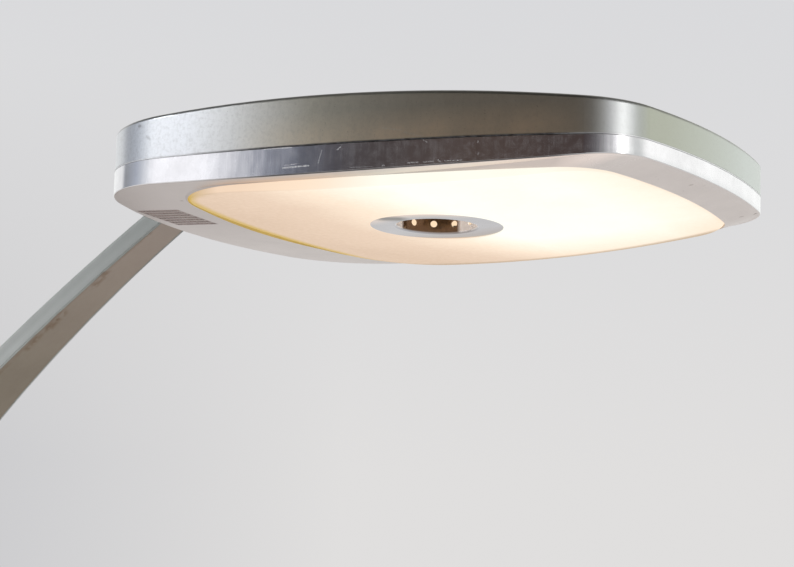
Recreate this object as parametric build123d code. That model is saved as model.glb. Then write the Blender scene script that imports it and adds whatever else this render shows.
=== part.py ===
from build123d import *
import os
from math import asin, cos, degrees, hypot, radians, sin, sqrt

# Arc floor lamp. Millimetres, +Z up, origin on the floor under the middle of the base.
# The arm springs from the back of the base and arches over towards +X, where it carries the head.

# Head, seen from above: a cushion outline that narrows towards the front.
# Its own frame has the origin under the chrome cup, on the parting line of shell and rim.
head_height = 1400.0            # parting line above the floor
head_front = 182.0              # front corners, before rounding
head_front_half = 110.5
head_back = 162.0               # back corners, before rounding, behind the cup
head_back_half = 149.5
head_side_bulge = 17.3
head_front_bulge = 13.4
head_back_bulge = 26.7
head_front_radius = 40.0
head_back_radius = 65.0
parting_gap = 0.6               # shadow line between shell and rim

# Head shell and its crowned top
shell_wall = 1.2
shell_crown_height = 34.0       # top of the crown above the parting line
shell_crown_x = -11.0
shell_crown_length_radius = 1580.0
shell_crown_cross_radius = 3280.0
shell_edge_radius = 2.5

# Rim, the polished frame below the parting line
rim_wall = 2.2
rim_plate = 2.0
rim_depth = 21.5                # lowest point of the underside, below the parting line
rim_crown_x = -33.0
rim_crown_length_radius = 2830.0
rim_crown_cross_radius = 3290.0
rim_edge_radius = 0.9
rim_chamfer = 0.5
rim_lip_wall = 1.4
rim_lip_rise = 6.0
rim_lip_drop = 6.0
rim_lip_clearance = 0.3
groove_count = 7
groove_pitch = 7.2
groove_width = 3.8
groove_length = 31.0
groove_depth = 1.3
groove_middle_x = -161.5
groove_middle_y = -59.0

# Opening in the rim. Its edge lies in a plane that rises a little towards the front.
opening_front = 159.4
opening_front_half = 106.7
opening_back = 113.4
opening_back_half = 142.2
opening_side_bulge = 8.8
opening_front_bulge = 12.5
opening_back_bulge = 21.8
opening_front_radius = 37.4
opening_back_radius = 61.4
opening_drop = 18.4             # below the parting line, under the cup
opening_slope = 0.0053          # rise for each millimetre towards the front
margin_rise = 13.0              # the rim's margin slopes up from the opening by this much
margin_front_run = 48.0         # over this length at the front
margin_side_run = 23.0          # and over this length at the sides and the back
margin_end = 2.5                # its end inside the rim, from the head's outline
margin_overrun = 0.15           # share of it drawn on past the opening, before the opening is cut

# Diffuser, bowed along its length and sprung into the opening
diffuser_clearance = 0.4
diffuser_wall = 2.4
diffuser_drop = 24.5            # lowest point of its face below the parting line
diffuser_bow_x = 10.0
diffuser_bow_radius = 1800.0
diffuser_edge_radius = 3.0
diffuser_flange_width = 5.0
diffuser_flange_seat = 0.05

# Chrome vent cup at the middle of the diffuser
cup_flange_radius = 43.0
cup_flange_thickness = 1.2
cup_flange_sink = 0.3           # flange face above the diffuser's face
cup_flange_cone = 0.3           # its edge above the mouth of the recess
cup_radius = 26.0               # inside of the recess
cup_wall = 1.0
cup_depth = 17.0
cup_mouth_radius = 1.6
cup_hole_count = 12
cup_hole_radius = 2.2
cup_hole_rise = 6.6             # hole centres above the flange face
cup_hole_turn = 3.0
stud_radius = 5.0
stud_bore_radius = 3.0
stud_clearance = 0.1
nut_radius = 9.0
nut_height = 6.0
nut_lug_count = 12
nut_lug_radius = 0.9

# Inside the head
reflector_drop = 6.0            # below the outside of the shell
reflector_sheet = 0.7
reflector_inset = 14.0
reflector_skirt = 5.0           # its lower edge above the parting line
bracket_sheet = 1.6
bracket_half = 96.0
bracket_x = 14.0
bracket_foot = 12.0
bracket_bottom = -6.0
bracket_seat = 0.1
bulb_spacing = 138.0
bulb_height = 3.0               # lamp axis above the parting line
holder_radius = 13.5
holder_skirt_radius = 14.5
holder_length = 36.0
holder_step = 7.0
bulb_cap_radius = 6.8
bulb_cap_length = 22.0
bulb_neck_radius = 8.0
bulb_radius = 17.5
bulb_length = 82.0
terminal_length = 34.0
terminal_width = 18.0
terminal_height = 12.0
terminal_x = -96.0
terminal_bore_radius = 2.0
terminal_ways = 3
clip_width = 14.0
clip_sheet = 0.8
clip_height = 11.0
clip_leg = 6.0
clip_spacing = 150.0
clip_seat = 0.1

# Tilt hinge behind the head
hinge_gap = 14.0                # hinge axis behind the head's back wall
hinge_rise = 10.5               # hinge axis above the parting line
eye_radius = 9.0
eye_half = 11.0
washer_thickness = 1.5
washer_radius = 8.5
cheek_thickness = 4.0
cheek_radius = 9.0
hinge_side_clearance = 0.05
pin_radius = 4.0
pin_clearance = 0.05
pin_head_radius = 7.0
pin_head_height = 4.0
hinge_nut_radius = 7.0
hinge_nut_height = 5.0
bracket_plate_half = 30.0
bracket_plate_thickness = 3.5
bracket_plate_low = 1.6
bracket_plate_high = 19.5
bracket_screw_spacing = 48.0
bracket_screw_radius = 2.0
bracket_screw_head_radius = 3.8
bracket_screw_head_height = 2.4
bracket_screw_rise = 10.5
backing_plate_thickness = 2.0
fit_seat = 0.05                 # seat between curved faces of one body

# Arm, a curved hollow strap made of a channel and a cover
arm_radius = 1407.0             # middle of the strap
arm_head_angle = 33.7           # slope below the horizontal at the hinge, degrees
eye_offset = 8.6                # hinge axis above the middle of the strap
arm_thickness = 14.0
arm_wall = 2.0
arm_cover_sheet = 1.5
arm_cover_clearance = 0.3
arm_half = 42.0                 # half its width below the flare
arm_tip_half = 13.4             # half its width where the flare starts
flare_rise = 25.0               # start of the flare above the hinge axis
flare_radius = 2170.0
flare_start_angle = 1.8
flare_end_angle = 7.3
arm_edge_radius = 3.5           # outer edges
arm_inner_edge_radius = 0.6
arm_end_gap = 11.0              # end of the strap from the hinge axis
plug_length = 55.0
plug_clearance = 0.15
lead_radius = 3.0
lead_seat = 0.3                 # lead from the cover and from its two ends
lead_hole_clearance = 1.5

# Base: felt, plate, iron weight, polished trim and painted cover
column_x = -95.0
base_front = 170.0
base_front_half = 112.0
base_back = 158.0
base_back_half = 142.0
base_side_bulge = 16.0
base_front_bulge = 13.0
base_back_bulge = 22.0
base_front_radius = 42.0
base_back_radius = 62.0
felt_thickness = 3.0
felt_inset = 6.0
base_plate_inset = 0.6
base_plate_thickness = 2.0
weight_thickness = 28.0
weight_gap = 3.0                # beside the weight, inside the trim
trim_height = 19.0
trim_wall = 2.2
trim_edge_radius = 2.0
trim_lip_rise = 6.0
trim_lip_drop = 2.5
cover_wall = 1.4
cover_crown_height = 58.0
cover_crown_x = -8.0
cover_crown_length_radius = 1500.0
cover_crown_cross_radius = 2600.0
cover_edge_radius = 4.0
cover_slot_clearance = 0.5
foot_plate_length = 62.0
foot_plate_width = 132.0
foot_plate_thickness = 8.0
tongue_inner = 10.0             # inside faces of the two tongues from the middle
tongue_width = 24.0
tongue_height = 110.0
tongue_clearance = 0.3
foot_bolt_radius = 4.0
foot_bolt_head_radius = 6.5
foot_bolt_head_height = 5.3
foot_bolt_length = 20.0
foot_bolt_inset = 11.0
tang_screw_radius = 2.5
tang_screw_head_radius = 4.5
tang_screw_rise = 72.0          # above the foot plate
collar_width = 7.0
collar_rise = 2.0               # above the top of the cover's crown
collar_corner_radius = 5.0
collar_edge_radius = 1.2
collar_clearance = 0.4
plate_screw_radius = 2.5
plate_screw_head_radius = 4.6
plate_screw_head_height = 1.6
plate_screw_length = 12.0
plate_screw_x = 120.0
plate_screw_y = 85.0

# Foot switch on the base, and the bush where the lead enters
switch_x = 96.0
switch_bezel_radius = 17.0
switch_bezel_wall = 3.0
switch_bezel_rise = 3.0
switch_bezel_skirt = 8.0
switch_hole_clearance = 0.3
switch_body_radius = 13.0
button_radius = 10.5
button_clearance = 0.3
button_rise = 5.5               # above the bezel
button_travel = 4.0
button_stem_radius = 4.0
button_stem_depth = 9.0
button_edge_radius = 2.5
button_floor = 1.0              # left under the button when it is pressed
bush_radius = 5.8
bush_flange_radius = 8.0
bush_inner_radius = 6.6
bush_flange = 2.0
bush_bore_radius = 3.6
bush_height = 14.0
bush_notch_half = 10.0          # notch in the weight behind the bush
bush_notch_depth = 22.0


def cushion(
    front, front_half, back, back_half, side_bulge, front_bulge, back_bulge, front_radius, back_radius
):
    """Four-sided outline with bulged sides and rounded corners, symmetric about the X axis."""
    run, rise = front + back, front_half - back_half
    length = hypot(run, rise)
    side_x = (front - back) / 2 - rise / length * side_bulge
    side_y = (front_half + back_half) / 2 + run / length * side_bulge
    with BuildSketch() as sketch:
        with BuildLine():
            ThreePointArc((front, -front_half), (front + front_bulge, 0), (front, front_half))
            ThreePointArc((front, front_half), (side_x, side_y), (-back, back_half))
            ThreePointArc((-back, back_half), (-back - back_bulge, 0), (-back, -back_half))
            ThreePointArc((-back, -back_half), (side_x, -side_y), (front, -front_half))
        make_face()
        corners = sketch.vertices().sort_by(Axis.X)
        fillet(corners[2:], front_radius)
        fillet(sketch.vertices().group_by(Axis.X)[0], back_radius)
    return sketch.sketch


def inset(outline, amount):
    """The outline moved inwards, with each of its sides still a plain arc."""
    with BuildSketch() as sketch:
        with BuildLine():
            for edge in offset(outline, -amount).edges():
                ThreePointArc(edge @ 0, edge @ 0.5, edge @ 1)
        make_face()
    return sketch.sketch


def slab(outline, low, high):
    """The outline as a plate between two heights."""
    return extrude(Pos(0, 0, low) * outline, high - low)


def crown(middle_x, height, length_radius, cross_radius, depth=80.0, reach=260.0):
    """Everything under a top that is arched along X and, less, along Y."""
    fall = length_radius - sqrt(length_radius**2 - reach**2)
    with BuildSketch(Plane.XZ) as section:
        with BuildLine():
            left, right = (middle_x - reach, height - fall), (middle_x + reach, height - fall)
            ThreePointArc(left, (middle_x, height), right)
            Polyline(right, (middle_x + reach, height - depth), (middle_x - reach, height - depth), left)
        make_face()
    swing = Axis((0, 0, height - cross_radius), (1, 0, 0))
    half_turn = degrees(asin(reach / cross_radius))
    return revolve(section.sketch.rotate(swing, -half_turn), swing, 2 * half_turn)


def bow(middle_x, height, radius, depth=80.0, reach=260.0):
    """Everything over a face that sags along X and is straight across."""
    rise = radius - sqrt(radius**2 - reach**2)
    with BuildSketch(Plane.XZ) as section:
        with BuildLine():
            left, right = (middle_x - reach, height + rise), (middle_x + reach, height + rise)
            ThreePointArc(left, (middle_x, height), right)
            Polyline(right, (middle_x + reach, height + depth), (middle_x - reach, height + depth), left)
        make_face()
    return extrude(section.sketch, reach, both=True)


def rod(radius, start, end):
    """Round bar from one point to another."""
    run = Vector(end) - Vector(start)
    return Solid.make_cylinder(radius, run.length, Plane(start, z_dir=run))


def block(low, high):
    """Box between two corners."""
    middle = (Vector(low) + Vector(high)) * 0.5
    size = Vector(high) - Vector(low)
    return Pos(*middle) * Box(*size)


def hexagon(radius, height, plane):
    """Hexagonal prism on a plane, with the given radius over its corners."""
    return extrude(plane * RegularPolygon(radius, 6), height)


# Places that follow from the sizes above
arm_centre_x = column_x + arm_radius
hinge_radius = arm_radius + eye_offset
slope = radians(arm_head_angle)
hinge_x = arm_centre_x - hinge_radius * sin(slope)
hinge_z = head_height + hinge_rise
arm_centre_z = hinge_z - hinge_radius * cos(slope)
head_wall_back = head_back + head_back_bulge
head_place = Pos(hinge_x + hinge_gap + head_wall_back, 0, head_height)
hinge_head_x = -head_wall_back - hinge_gap
half_gap = parting_gap / 2
cup_face = -diffuser_drop + cup_flange_sink
cup_roof = cup_face + cup_depth
plate_top = felt_thickness + base_plate_thickness
weight_top = plate_top + weight_thickness
trim_top = plate_top + trim_height
foot_top = weight_top + foot_plate_thickness
end_angle = slope + arm_end_gap / arm_radius
plug_angle = end_angle + plug_length / arm_radius

head_outline = cushion(
    head_front, head_front_half, head_back, head_back_half, head_side_bulge,
    head_front_bulge, head_back_bulge, head_front_radius, head_back_radius,
)
opening_outline = cushion(
    opening_front, opening_front_half, opening_back, opening_back_half, opening_side_bulge,
    opening_front_bulge, opening_back_bulge, opening_front_radius, opening_back_radius,
)
base_outline = cushion(
    base_front, base_front_half, base_back, base_back_half, base_side_bulge,
    base_front_bulge, base_back_bulge, base_front_radius, base_back_radius,
)
shell_top = crown(shell_crown_x, shell_crown_height, shell_crown_length_radius, shell_crown_cross_radius)
rim_crown = crown(rim_crown_x, rim_depth, rim_crown_length_radius, rim_crown_cross_radius)
rim_arch = mirror(rim_crown, about=Plane.XY)
opening_taper = (opening_back_half - opening_front_half) / (opening_front + opening_back)
opening_plane = Plane((0, 0, -opening_drop), x_dir=(1, 0, opening_slope), z_dir=(-opening_slope, 0, 1))


def margin_face(share):
    """Section of the sloping margin, at a share of its rise above the opening's edge."""
    front_run = margin_front_run * share
    side_run = margin_side_run * share
    outline = cushion(
        opening_front + front_run, opening_front_half + side_run - front_run * opening_taper,
        opening_back + side_run, opening_back_half + side_run + side_run * opening_taper,
        opening_side_bulge, opening_front_bulge, opening_back_bulge,
        opening_front_radius + side_run, opening_back_radius + side_run,
    )
    return (opening_plane.offset(margin_rise * share) * outline).face()


rim_dish = loft([margin_face(-margin_overrun), margin_face(1)], ruled=True)
rim_under = rim_arch + rim_dish
diffuser_face = bow(diffuser_bow_x, -diffuser_drop, diffuser_bow_radius)
cover_top = crown(cover_crown_x, cover_crown_height, cover_crown_length_radius, cover_crown_cross_radius)


def under_shell(drop):
    """Everything at least this far under the outside of the shell's crown."""
    return Pos(0, 0, -drop) * shell_top


def over_rim(rise):
    """Everything at least this far over the underside of the rim."""
    return Pos(0, 0, rise) * rim_under


def over_face(rise):
    """Everything at least this far over the face of the diffuser."""
    return Pos(0, 0, rise) * diffuser_face


def along(shape, low, high):
    """Edges of a shape that lie wholly between two heights."""
    return shape.edges().filter_by(lambda e: e.bounding_box().min.Z > low and e.bounding_box().max.Z < high)


def ring(outline, outer_inset, inner_inset, low, high):
    """Wall that follows an outline, between two insets and two heights."""
    return slab(inset(outline, outer_inset), low, high) - slab(inset(outline, inner_inset), low, high)


def make_head_shell():
    outside = slab(head_outline, half_gap, shell_crown_height + 1) & shell_top
    outside = fillet(along(outside, half_gap + 1, shell_crown_height + 1), shell_edge_radius)
    inside = slab(inset(head_outline, shell_wall), 0, shell_crown_height) & under_shell(shell_wall)
    shell = outside - inside
    for side in (-1, 1):
        y = side * bracket_screw_spacing / 2
        shell -= rod(
            bracket_screw_radius + stud_clearance,
            (-head_wall_back - 5, y, bracket_screw_rise), (-head_wall_back + 20, y, bracket_screw_rise),
        )
    return shell


def make_grooves():
    cuts = []
    for i in range(groove_count):
        y = groove_middle_y + (i - (groove_count - 1) / 2) * groove_pitch
        cuts.append(block(
            (groove_middle_x - groove_length / 2, y - groove_width / 2, -rim_depth - 1),
            (groove_middle_x + groove_length / 2, y + groove_width / 2, -half_gap),
        ) - over_rim(groove_depth))
    return cuts


def make_rim_frame():
    outside = slab(head_outline, -rim_depth - 1, -half_gap) & rim_arch
    outside = fillet(along(outside, -rim_depth - 1, -half_gap - 1), rim_edge_radius)
    outside = chamfer(along(outside, -half_gap - 0.01, half_gap), rim_chamfer)
    outside += slab(inset(head_outline, margin_end), -rim_depth, -half_gap - 1) & rim_dish
    inside = slab(inset(head_outline, rim_wall), -rim_depth, 0) & over_rim(rim_plate)
    frame = outside - inside - slab(opening_outline, -rim_depth - 1, 0)
    lip_inset = shell_wall + rim_lip_clearance
    frame += ring(head_outline, lip_inset, lip_inset + rim_lip_wall, -rim_lip_drop, rim_lip_rise)
    for cut in make_grooves():
        frame -= cut
    return frame


def make_rim_clips():
    outer = shell_wall + rim_lip_clearance + rim_lip_wall + clip_seat
    leaf = ring(head_outline, outer, outer + clip_sheet, -rim_lip_drop, clip_height)
    leg = ring(head_outline, outer, outer + clip_leg, -rim_lip_drop, -rim_lip_drop + clip_sheet)
    strip = leaf + leg
    clips = []
    for x in (-clip_spacing / 2, clip_spacing / 2):
        for side in (-1, 1):
            clips.append(strip & block(
                (x - clip_width / 2, min(0, side * head_back_half * 2), -rim_depth),
                (x + clip_width / 2, max(0, side * head_back_half * 2), shell_crown_height),
            ))
    return clips


def make_diffuser():
    bulge = inset(opening_outline, diffuser_clearance)
    flange_low = rim_plate + diffuser_flange_seat
    flange_high = flange_low + diffuser_wall
    body = slab(bulge, -diffuser_drop - 1, -half_gap) & over_face(0)
    body = fillet(along(body, -diffuser_drop - 1, -half_gap - 1), diffuser_edge_radius)
    body += slab(inset(opening_outline, -diffuser_flange_width), -rim_depth, -half_gap) & over_rim(flange_low)
    body -= over_rim(flange_high)
    hollow = slab(inset(bulge, diffuser_wall), -diffuser_drop, 0) & over_face(diffuser_wall)
    body -= fillet(along(hollow, -diffuser_drop, -half_gap - 1), diffuser_edge_radius - diffuser_wall)
    recess = cup_flange_radius + rim_lip_clearance
    seat = cup_face + cup_flange_thickness + cup_flange_cone
    middle = -diffuser_drop + diffuser_wall / 2
    body += rod(recess + diffuser_wall, (0, 0, middle), (0, 0, seat + diffuser_wall))
    body -= rod(recess, (0, 0, -diffuser_drop - 1), (0, 0, seat))
    body -= rod(cup_radius + cup_wall + rim_lip_clearance, (0, 0, -diffuser_drop), (0, 0, 0))
    return body


def make_vent_cup():
    outer = cup_radius + cup_wall
    bore = stud_radius + stud_clearance
    with BuildSketch(Plane.XZ) as section:
        with BuildLine():
            Polyline(
                (cup_flange_radius, cup_face + cup_flange_cone), (cup_radius, cup_face),
                (cup_radius, cup_roof - cup_wall), (bore, cup_roof - cup_wall), (bore, cup_roof),
                (outer, cup_roof), (outer, cup_face + cup_flange_thickness),
                (cup_flange_radius, cup_face + cup_flange_cone + cup_flange_thickness), close=True,
            )
        make_face()
        mouth = section.vertices().sort_by_distance((cup_radius, cup_face, 0))[0]
        fillet(mouth, cup_mouth_radius)
    cup = revolve(section.sketch, Axis.Z)
    for i in range(cup_hole_count):
        turn = radians(cup_hole_turn + 360 / cup_hole_count * i)
        height = cup_face + cup_hole_rise
        cup -= rod(
            cup_hole_radius,
            ((cup_radius - 4) * cos(turn), (cup_radius - 4) * sin(turn), height),
            ((outer + 4) * cos(turn), (outer + 4) * sin(turn), height),
        )
    return cup


def make_centre_stud():
    stud = rod(stud_radius, (0, 0, cup_roof - cup_wall - nut_height - 1), (0, 0, shell_crown_height))
    low, high = shell_crown_height - 2 * reflector_drop + 2, shell_crown_height
    shoulder = rod(nut_radius, (0, 0, low), (0, 0, high))
    stud += shoulder & under_shell(reflector_drop + reflector_sheet + fit_seat)
    stud &= under_shell(shell_wall + fit_seat)
    return stud - rod(stud_bore_radius, (0, 0, cup_face), (0, 0, shell_crown_height))


def make_cup_nut():
    low = cup_roof - cup_wall - nut_height
    nut = rod(nut_radius, (0, 0, low), (0, 0, cup_roof - cup_wall))
    for i in range(nut_lug_count):
        turn = radians(360 / nut_lug_count * i)
        x, y = nut_radius * cos(turn), nut_radius * sin(turn)
        nut -= rod(nut_lug_radius, (x, y, low - 1), (x, y, cup_roof))
    return nut - rod(stud_radius + stud_clearance, (0, 0, low - 1), (0, 0, cup_roof))


def make_reflector():
    outside = slab(inset(head_outline, reflector_inset), reflector_skirt, shell_crown_height)
    inside = slab(inset(head_outline, reflector_inset + reflector_sheet), 0, shell_crown_height)
    pan = (outside & under_shell(reflector_drop)) - (inside & under_shell(reflector_drop + reflector_sheet))
    return pan - rod(stud_radius + stud_clearance, (0, 0, 0), (0, 0, shell_crown_height))


def make_holder_bracket():
    top = reflector_drop + reflector_sheet + bracket_seat
    high = shell_crown_height
    half = bracket_half
    upright = block((bracket_x, -half, bracket_bottom), (bracket_x + bracket_sheet, half, high))
    foot = block((bracket_x, -half, 0), (bracket_x + bracket_foot, half, high))
    bracket = (upright & under_shell(top)) + ((foot & under_shell(top)) - under_shell(top + bracket_sheet))
    for side in (-1, 1):
        y = side * bulb_spacing / 2
        start, end = (bracket_x - 1, y, bulb_height), (bracket_x + 5, y, bulb_height)
        bracket -= rod(holder_radius + stud_clearance, start, end)
    return bracket


def make_lamp_holder(side):
    y = side * bulb_spacing / 2
    back = bracket_x - holder_length / 2
    face = bracket_x + bracket_sheet + bracket_seat
    front = back + holder_length
    holder = rod(holder_radius, (back, y, bulb_height), (front, y, bulb_height))
    holder += rod(holder_skirt_radius, (face, y, bulb_height), (face + holder_step, y, bulb_height))
    bore = bulb_cap_radius + stud_clearance
    return holder - rod(bore, (front - bulb_cap_length, y, bulb_height), (front + 1, y, bulb_height))


def make_bulb(side):
    front = bracket_x + holder_length / 2
    neck_end = bulb_cap_length * 0.6
    widest = bulb_length - bulb_cap_length - bulb_radius
    with BuildSketch(Plane.XZ) as section:
        with BuildLine():
            Polyline(
                (0, 0), (0, bulb_cap_radius),
                (bulb_cap_length, bulb_cap_radius), (bulb_cap_length, bulb_neck_radius),
            )
            Spline(
                (bulb_cap_length, bulb_neck_radius), (bulb_cap_length + neck_end, bulb_radius * 0.78),
                (bulb_cap_length + widest, bulb_radius), tangents=((1, 0.1), (1, 0)),
            )
            ThreePointArc(
                (bulb_cap_length + widest, bulb_radius),
                (bulb_cap_length + widest + bulb_radius * cos(radians(45)), bulb_radius * sin(radians(45))),
                (bulb_cap_length + widest + bulb_radius, 0),
            )
            Line((bulb_cap_length + widest + bulb_radius, 0), (0, 0))
        make_face()
    bulb = revolve(section.sketch, Axis.X)
    return Pos(front - bulb_cap_length + bracket_seat, side * bulb_spacing / 2, bulb_height) * bulb


def make_terminal_block():
    seat = reflector_drop + reflector_sheet + bracket_seat
    half_x, half_y = terminal_width / 2, terminal_length / 2
    back, front = terminal_x - half_x, terminal_x + half_x
    body = block((back, -half_y, 0), (front, half_y, shell_crown_height)) & under_shell(seat)
    body -= under_shell(seat + terminal_height)
    for i in range(terminal_ways):
        y = (i - (terminal_ways - 1) / 2) * terminal_length / terminal_ways
        height = body.bounding_box().center().Z
        body -= rod(terminal_bore_radius, (back - 1, y, height), (front + 1, y, height))
    return body


def hinge_point(y):
    """Point on the hinge axis, in the head's frame."""
    return (hinge_head_x, y, hinge_rise)


def make_hinge_bracket():
    outer = -head_wall_back - bracket_plate_thickness
    half = bracket_plate_half
    plate = block((outer, -half, bracket_plate_low), (0, half, bracket_plate_high))
    plate -= slab(inset(head_outline, -fit_seat), 0, shell_crown_height)
    inner_face = eye_half + washer_thickness + 2 * hinge_side_clearance
    for side in (-1, 1):
        near, far = side * inner_face, side * (inner_face + cheek_thickness)
        cheek = rod(cheek_radius, (hinge_head_x, near, hinge_rise), (hinge_head_x, far, hinge_rise))
        cheek += block(
            (hinge_head_x, min(near, far), hinge_rise - cheek_radius),
            (outer + 0.5, max(near, far), hinge_rise + cheek_radius),
        )
        plate += cheek
        y = side * bracket_screw_spacing / 2
        plate -= rod(
            bracket_screw_radius + stud_clearance,
            (outer - 1, y, bracket_screw_rise), (0, y, bracket_screw_rise),
        )
    reach = inner_face + cheek_thickness + 1
    return plate - rod(pin_radius + pin_clearance, hinge_point(-reach), hinge_point(reach))


def make_backing_plate():
    outer = shell_wall + fit_seat
    low = rim_lip_rise + 0.5
    strip = ring(head_outline, outer, outer + backing_plate_thickness, low, bracket_plate_high - 2)
    half = bracket_plate_half
    plate = strip & block((-head_wall_back, -half, low), (-head_back, half, shell_crown_height))
    for side in (-1, 1):
        y = side * bracket_screw_spacing / 2
        plate -= rod(
            bracket_screw_radius + stud_clearance,
            (-head_wall_back, y, bracket_screw_rise), (-head_back, y, bracket_screw_rise),
        )
    return plate


def make_bracket_screws():
    outer = -head_wall_back - bracket_plate_thickness
    inner = -head_wall_back + shell_wall + backing_plate_thickness + 2
    screws = []
    for side in (-1, 1):
        y = side * bracket_screw_spacing / 2
        screw = rod(bracket_screw_radius, (outer, y, bracket_screw_rise), (inner, y, bracket_screw_rise))
        head = (outer - bracket_screw_head_height, y, bracket_screw_rise)
        screws.append(screw + rod(bracket_screw_head_radius, head, (outer, y, bracket_screw_rise)))
    return screws


def make_hinge_pin():
    cheek_face = eye_half + washer_thickness + 2 * hinge_side_clearance + cheek_thickness
    pin = rod(pin_radius, hinge_point(-cheek_face), hinge_point(cheek_face + hinge_nut_height + 1))
    return pin + rod(pin_head_radius, hinge_point(-cheek_face - pin_head_height), hinge_point(-cheek_face))


def make_hinge_nut():
    cheek_face = eye_half + washer_thickness + 2 * hinge_side_clearance + cheek_thickness
    plane = Plane(hinge_point(cheek_face), x_dir=(1, 0, 0), z_dir=(0, 1, 0))
    nut = hexagon(hinge_nut_radius, hinge_nut_height, plane)
    return nut - rod(pin_radius + pin_clearance, hinge_point(0), hinge_point(2 * cheek_face))


def make_washers():
    washers = []
    for side in (-1, 1):
        near = side * (eye_half + hinge_side_clearance)
        far = near + side * washer_thickness
        washer = rod(washer_radius, hinge_point(near), hinge_point(far))
        hole = rod(pin_radius + pin_clearance, hinge_point(near - side), hinge_point(far + side))
        washers.append(washer - hole)
    return washers


def arm_point(radius, angle):
    """Point of the arm's curve in the XZ plane, by its angle from the top."""
    return (arm_centre_x - radius * sin(angle), arm_centre_z + radius * cos(angle))


def arm_side(inner_gap, outer_gap, stop=None):
    """The strap seen from the side, its two faces moved in, as a wide bar down to the foot or to an angle."""
    inner = arm_radius - arm_thickness / 2 + inner_gap
    outer = arm_radius + arm_thickness / 2 - outer_gap
    last = stop or radians(90)
    middle = (end_angle + last) / 2
    with BuildSketch(Plane.XZ) as side:
        with BuildLine():
            Line(arm_point(inner, end_angle), arm_point(outer, end_angle))
            ThreePointArc(arm_point(outer, end_angle), arm_point(outer, middle), arm_point(outer, last))
            if stop:
                Line(arm_point(outer, last), arm_point(inner, last))
            else:
                Polyline(
                    arm_point(outer, last), (arm_centre_x - outer, foot_top),
                    (arm_centre_x - inner, foot_top), arm_point(inner, last),
                )
            ThreePointArc(arm_point(inner, last), arm_point(inner, middle), arm_point(inner, end_angle))
        make_face()
    return extrude(side.sketch, 2 * arm_half, both=True)


def arm_front(edge_gap):
    """The strap seen from the front, its edges moved in, as a deep bar."""
    top = hinge_z + flare_rise
    first, last = radians(flare_start_angle), radians(flare_end_angle)
    turn_half = arm_tip_half + flare_radius * (cos(first) - cos(last))
    turn_z = top - flare_radius * (sin(last) - sin(first))
    lower_radius = (arm_half - turn_half) / (1 - cos(last))
    low = foot_top - flare_rise
    with BuildSketch(Plane.YZ) as front:
        with BuildLine():
            turn = flare_end_angle - flare_start_angle
            JernArc((arm_tip_half, top), (sin(first), -cos(first)), flare_radius, turn)
            lower = JernArc((turn_half, turn_z), (sin(last), -cos(last)), lower_radius, -flare_end_angle)
            Polyline(lower @ 1, (arm_half, low), (0, low), (0, top), (arm_tip_half, top))
        make_face()
        mirror(about=Plane.YZ)
    outline = offset(front.sketch, -edge_gap) if edge_gap else front.sketch
    return extrude(Pos(column_x, 0, 0) * outline, arm_radius, both=True)


def arm_edges(body, radius):
    """The long edges of the strap on its inner or outer face."""
    def on_face(edge):
        x, y, z = edge.center().X, edge.center().Y, edge.center().Z
        away = hypot(x - arm_centre_x, z - arm_centre_z) if z > arm_centre_z else arm_centre_x - x
        return abs(away - radius) < 0.5 and abs(y) > arm_tip_half / 2
    return body.edges().filter_by(on_face)


def tang_screw(side, grow):
    """Countersunk screw through the back of the strap into a tongue."""
    back = column_x - arm_thickness / 2
    y = side * (tongue_inner + tongue_width / 2)
    z = foot_top + tang_screw_rise
    tip = column_x + arm_thickness / 2 - arm_cover_sheet - 1
    plane = Plane((back, y, z), x_dir=(0, 1, 0), z_dir=(1, 0, 0))
    head = Solid.make_cone(tang_screw_head_radius + grow, tang_screw_radius + grow, arm_wall, plane)
    return rod(tang_screw_radius + grow, (back + 0.5, y, z), (tip, y, z)) + head


def make_arm_channel():
    body = arm_side(0, 0) & arm_front(0)
    body = fillet(arm_edges(body, arm_radius + arm_thickness / 2), arm_edge_radius)
    body = fillet(arm_edges(body, arm_radius - arm_thickness / 2), arm_inner_edge_radius)
    body -= arm_side(-1, arm_wall) & arm_front(arm_wall)
    for side in (-1, 1):
        body -= tang_screw(side, stud_clearance)
    return body


def make_arm_cover():
    return arm_side(0, arm_thickness - arm_cover_sheet) & arm_front(arm_wall + arm_cover_clearance)


def make_arm_knuckle():
    knuckle = arm_side(arm_cover_sheet + plug_clearance, arm_wall + plug_clearance, plug_angle)
    knuckle &= arm_front(arm_wall + plug_clearance)
    along_arm = Plane((hinge_x, 0, hinge_z), x_dir=(-cos(slope), 0, -sin(slope)), z_dir=(0, 1, 0)).location
    low = -eye_offset - arm_thickness / 2 + 2 * arm_cover_sheet
    high = -eye_offset + arm_thickness / 2 - 2 * arm_wall
    neck = block((eye_radius - 1, low, -eye_half), (arm_end_gap + 2, high, eye_half))
    neck += block((0, -eye_radius + 1, -eye_half), (arm_end_gap - 0.5, eye_radius - 3, eye_half))
    knuckle += along_arm * neck
    knuckle += rod(eye_radius, (hinge_x, -eye_half, hinge_z), (hinge_x, eye_half, hinge_z))
    bore = pin_radius + pin_clearance
    return knuckle - rod(bore, (hinge_x, -arm_half, hinge_z), (hinge_x, arm_half, hinge_z))


def make_arm_lead():
    radius = arm_radius - arm_thickness / 2 + arm_cover_sheet + lead_seat + lead_radius
    last = plug_angle + lead_seat / arm_radius
    x = arm_centre_x - radius
    start = (x, 0, weight_top + lead_seat)
    with BuildLine(Plane.XZ) as path:
        Line((x, weight_top + lead_seat), (x, arm_centre_z))
        ThreePointArc(
            (x, arm_centre_z), arm_point(radius, (radians(90) + last) / 2), arm_point(radius, last),
        )
    return sweep(Plane(start) * Circle(lead_radius), path=path.wire())


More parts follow.
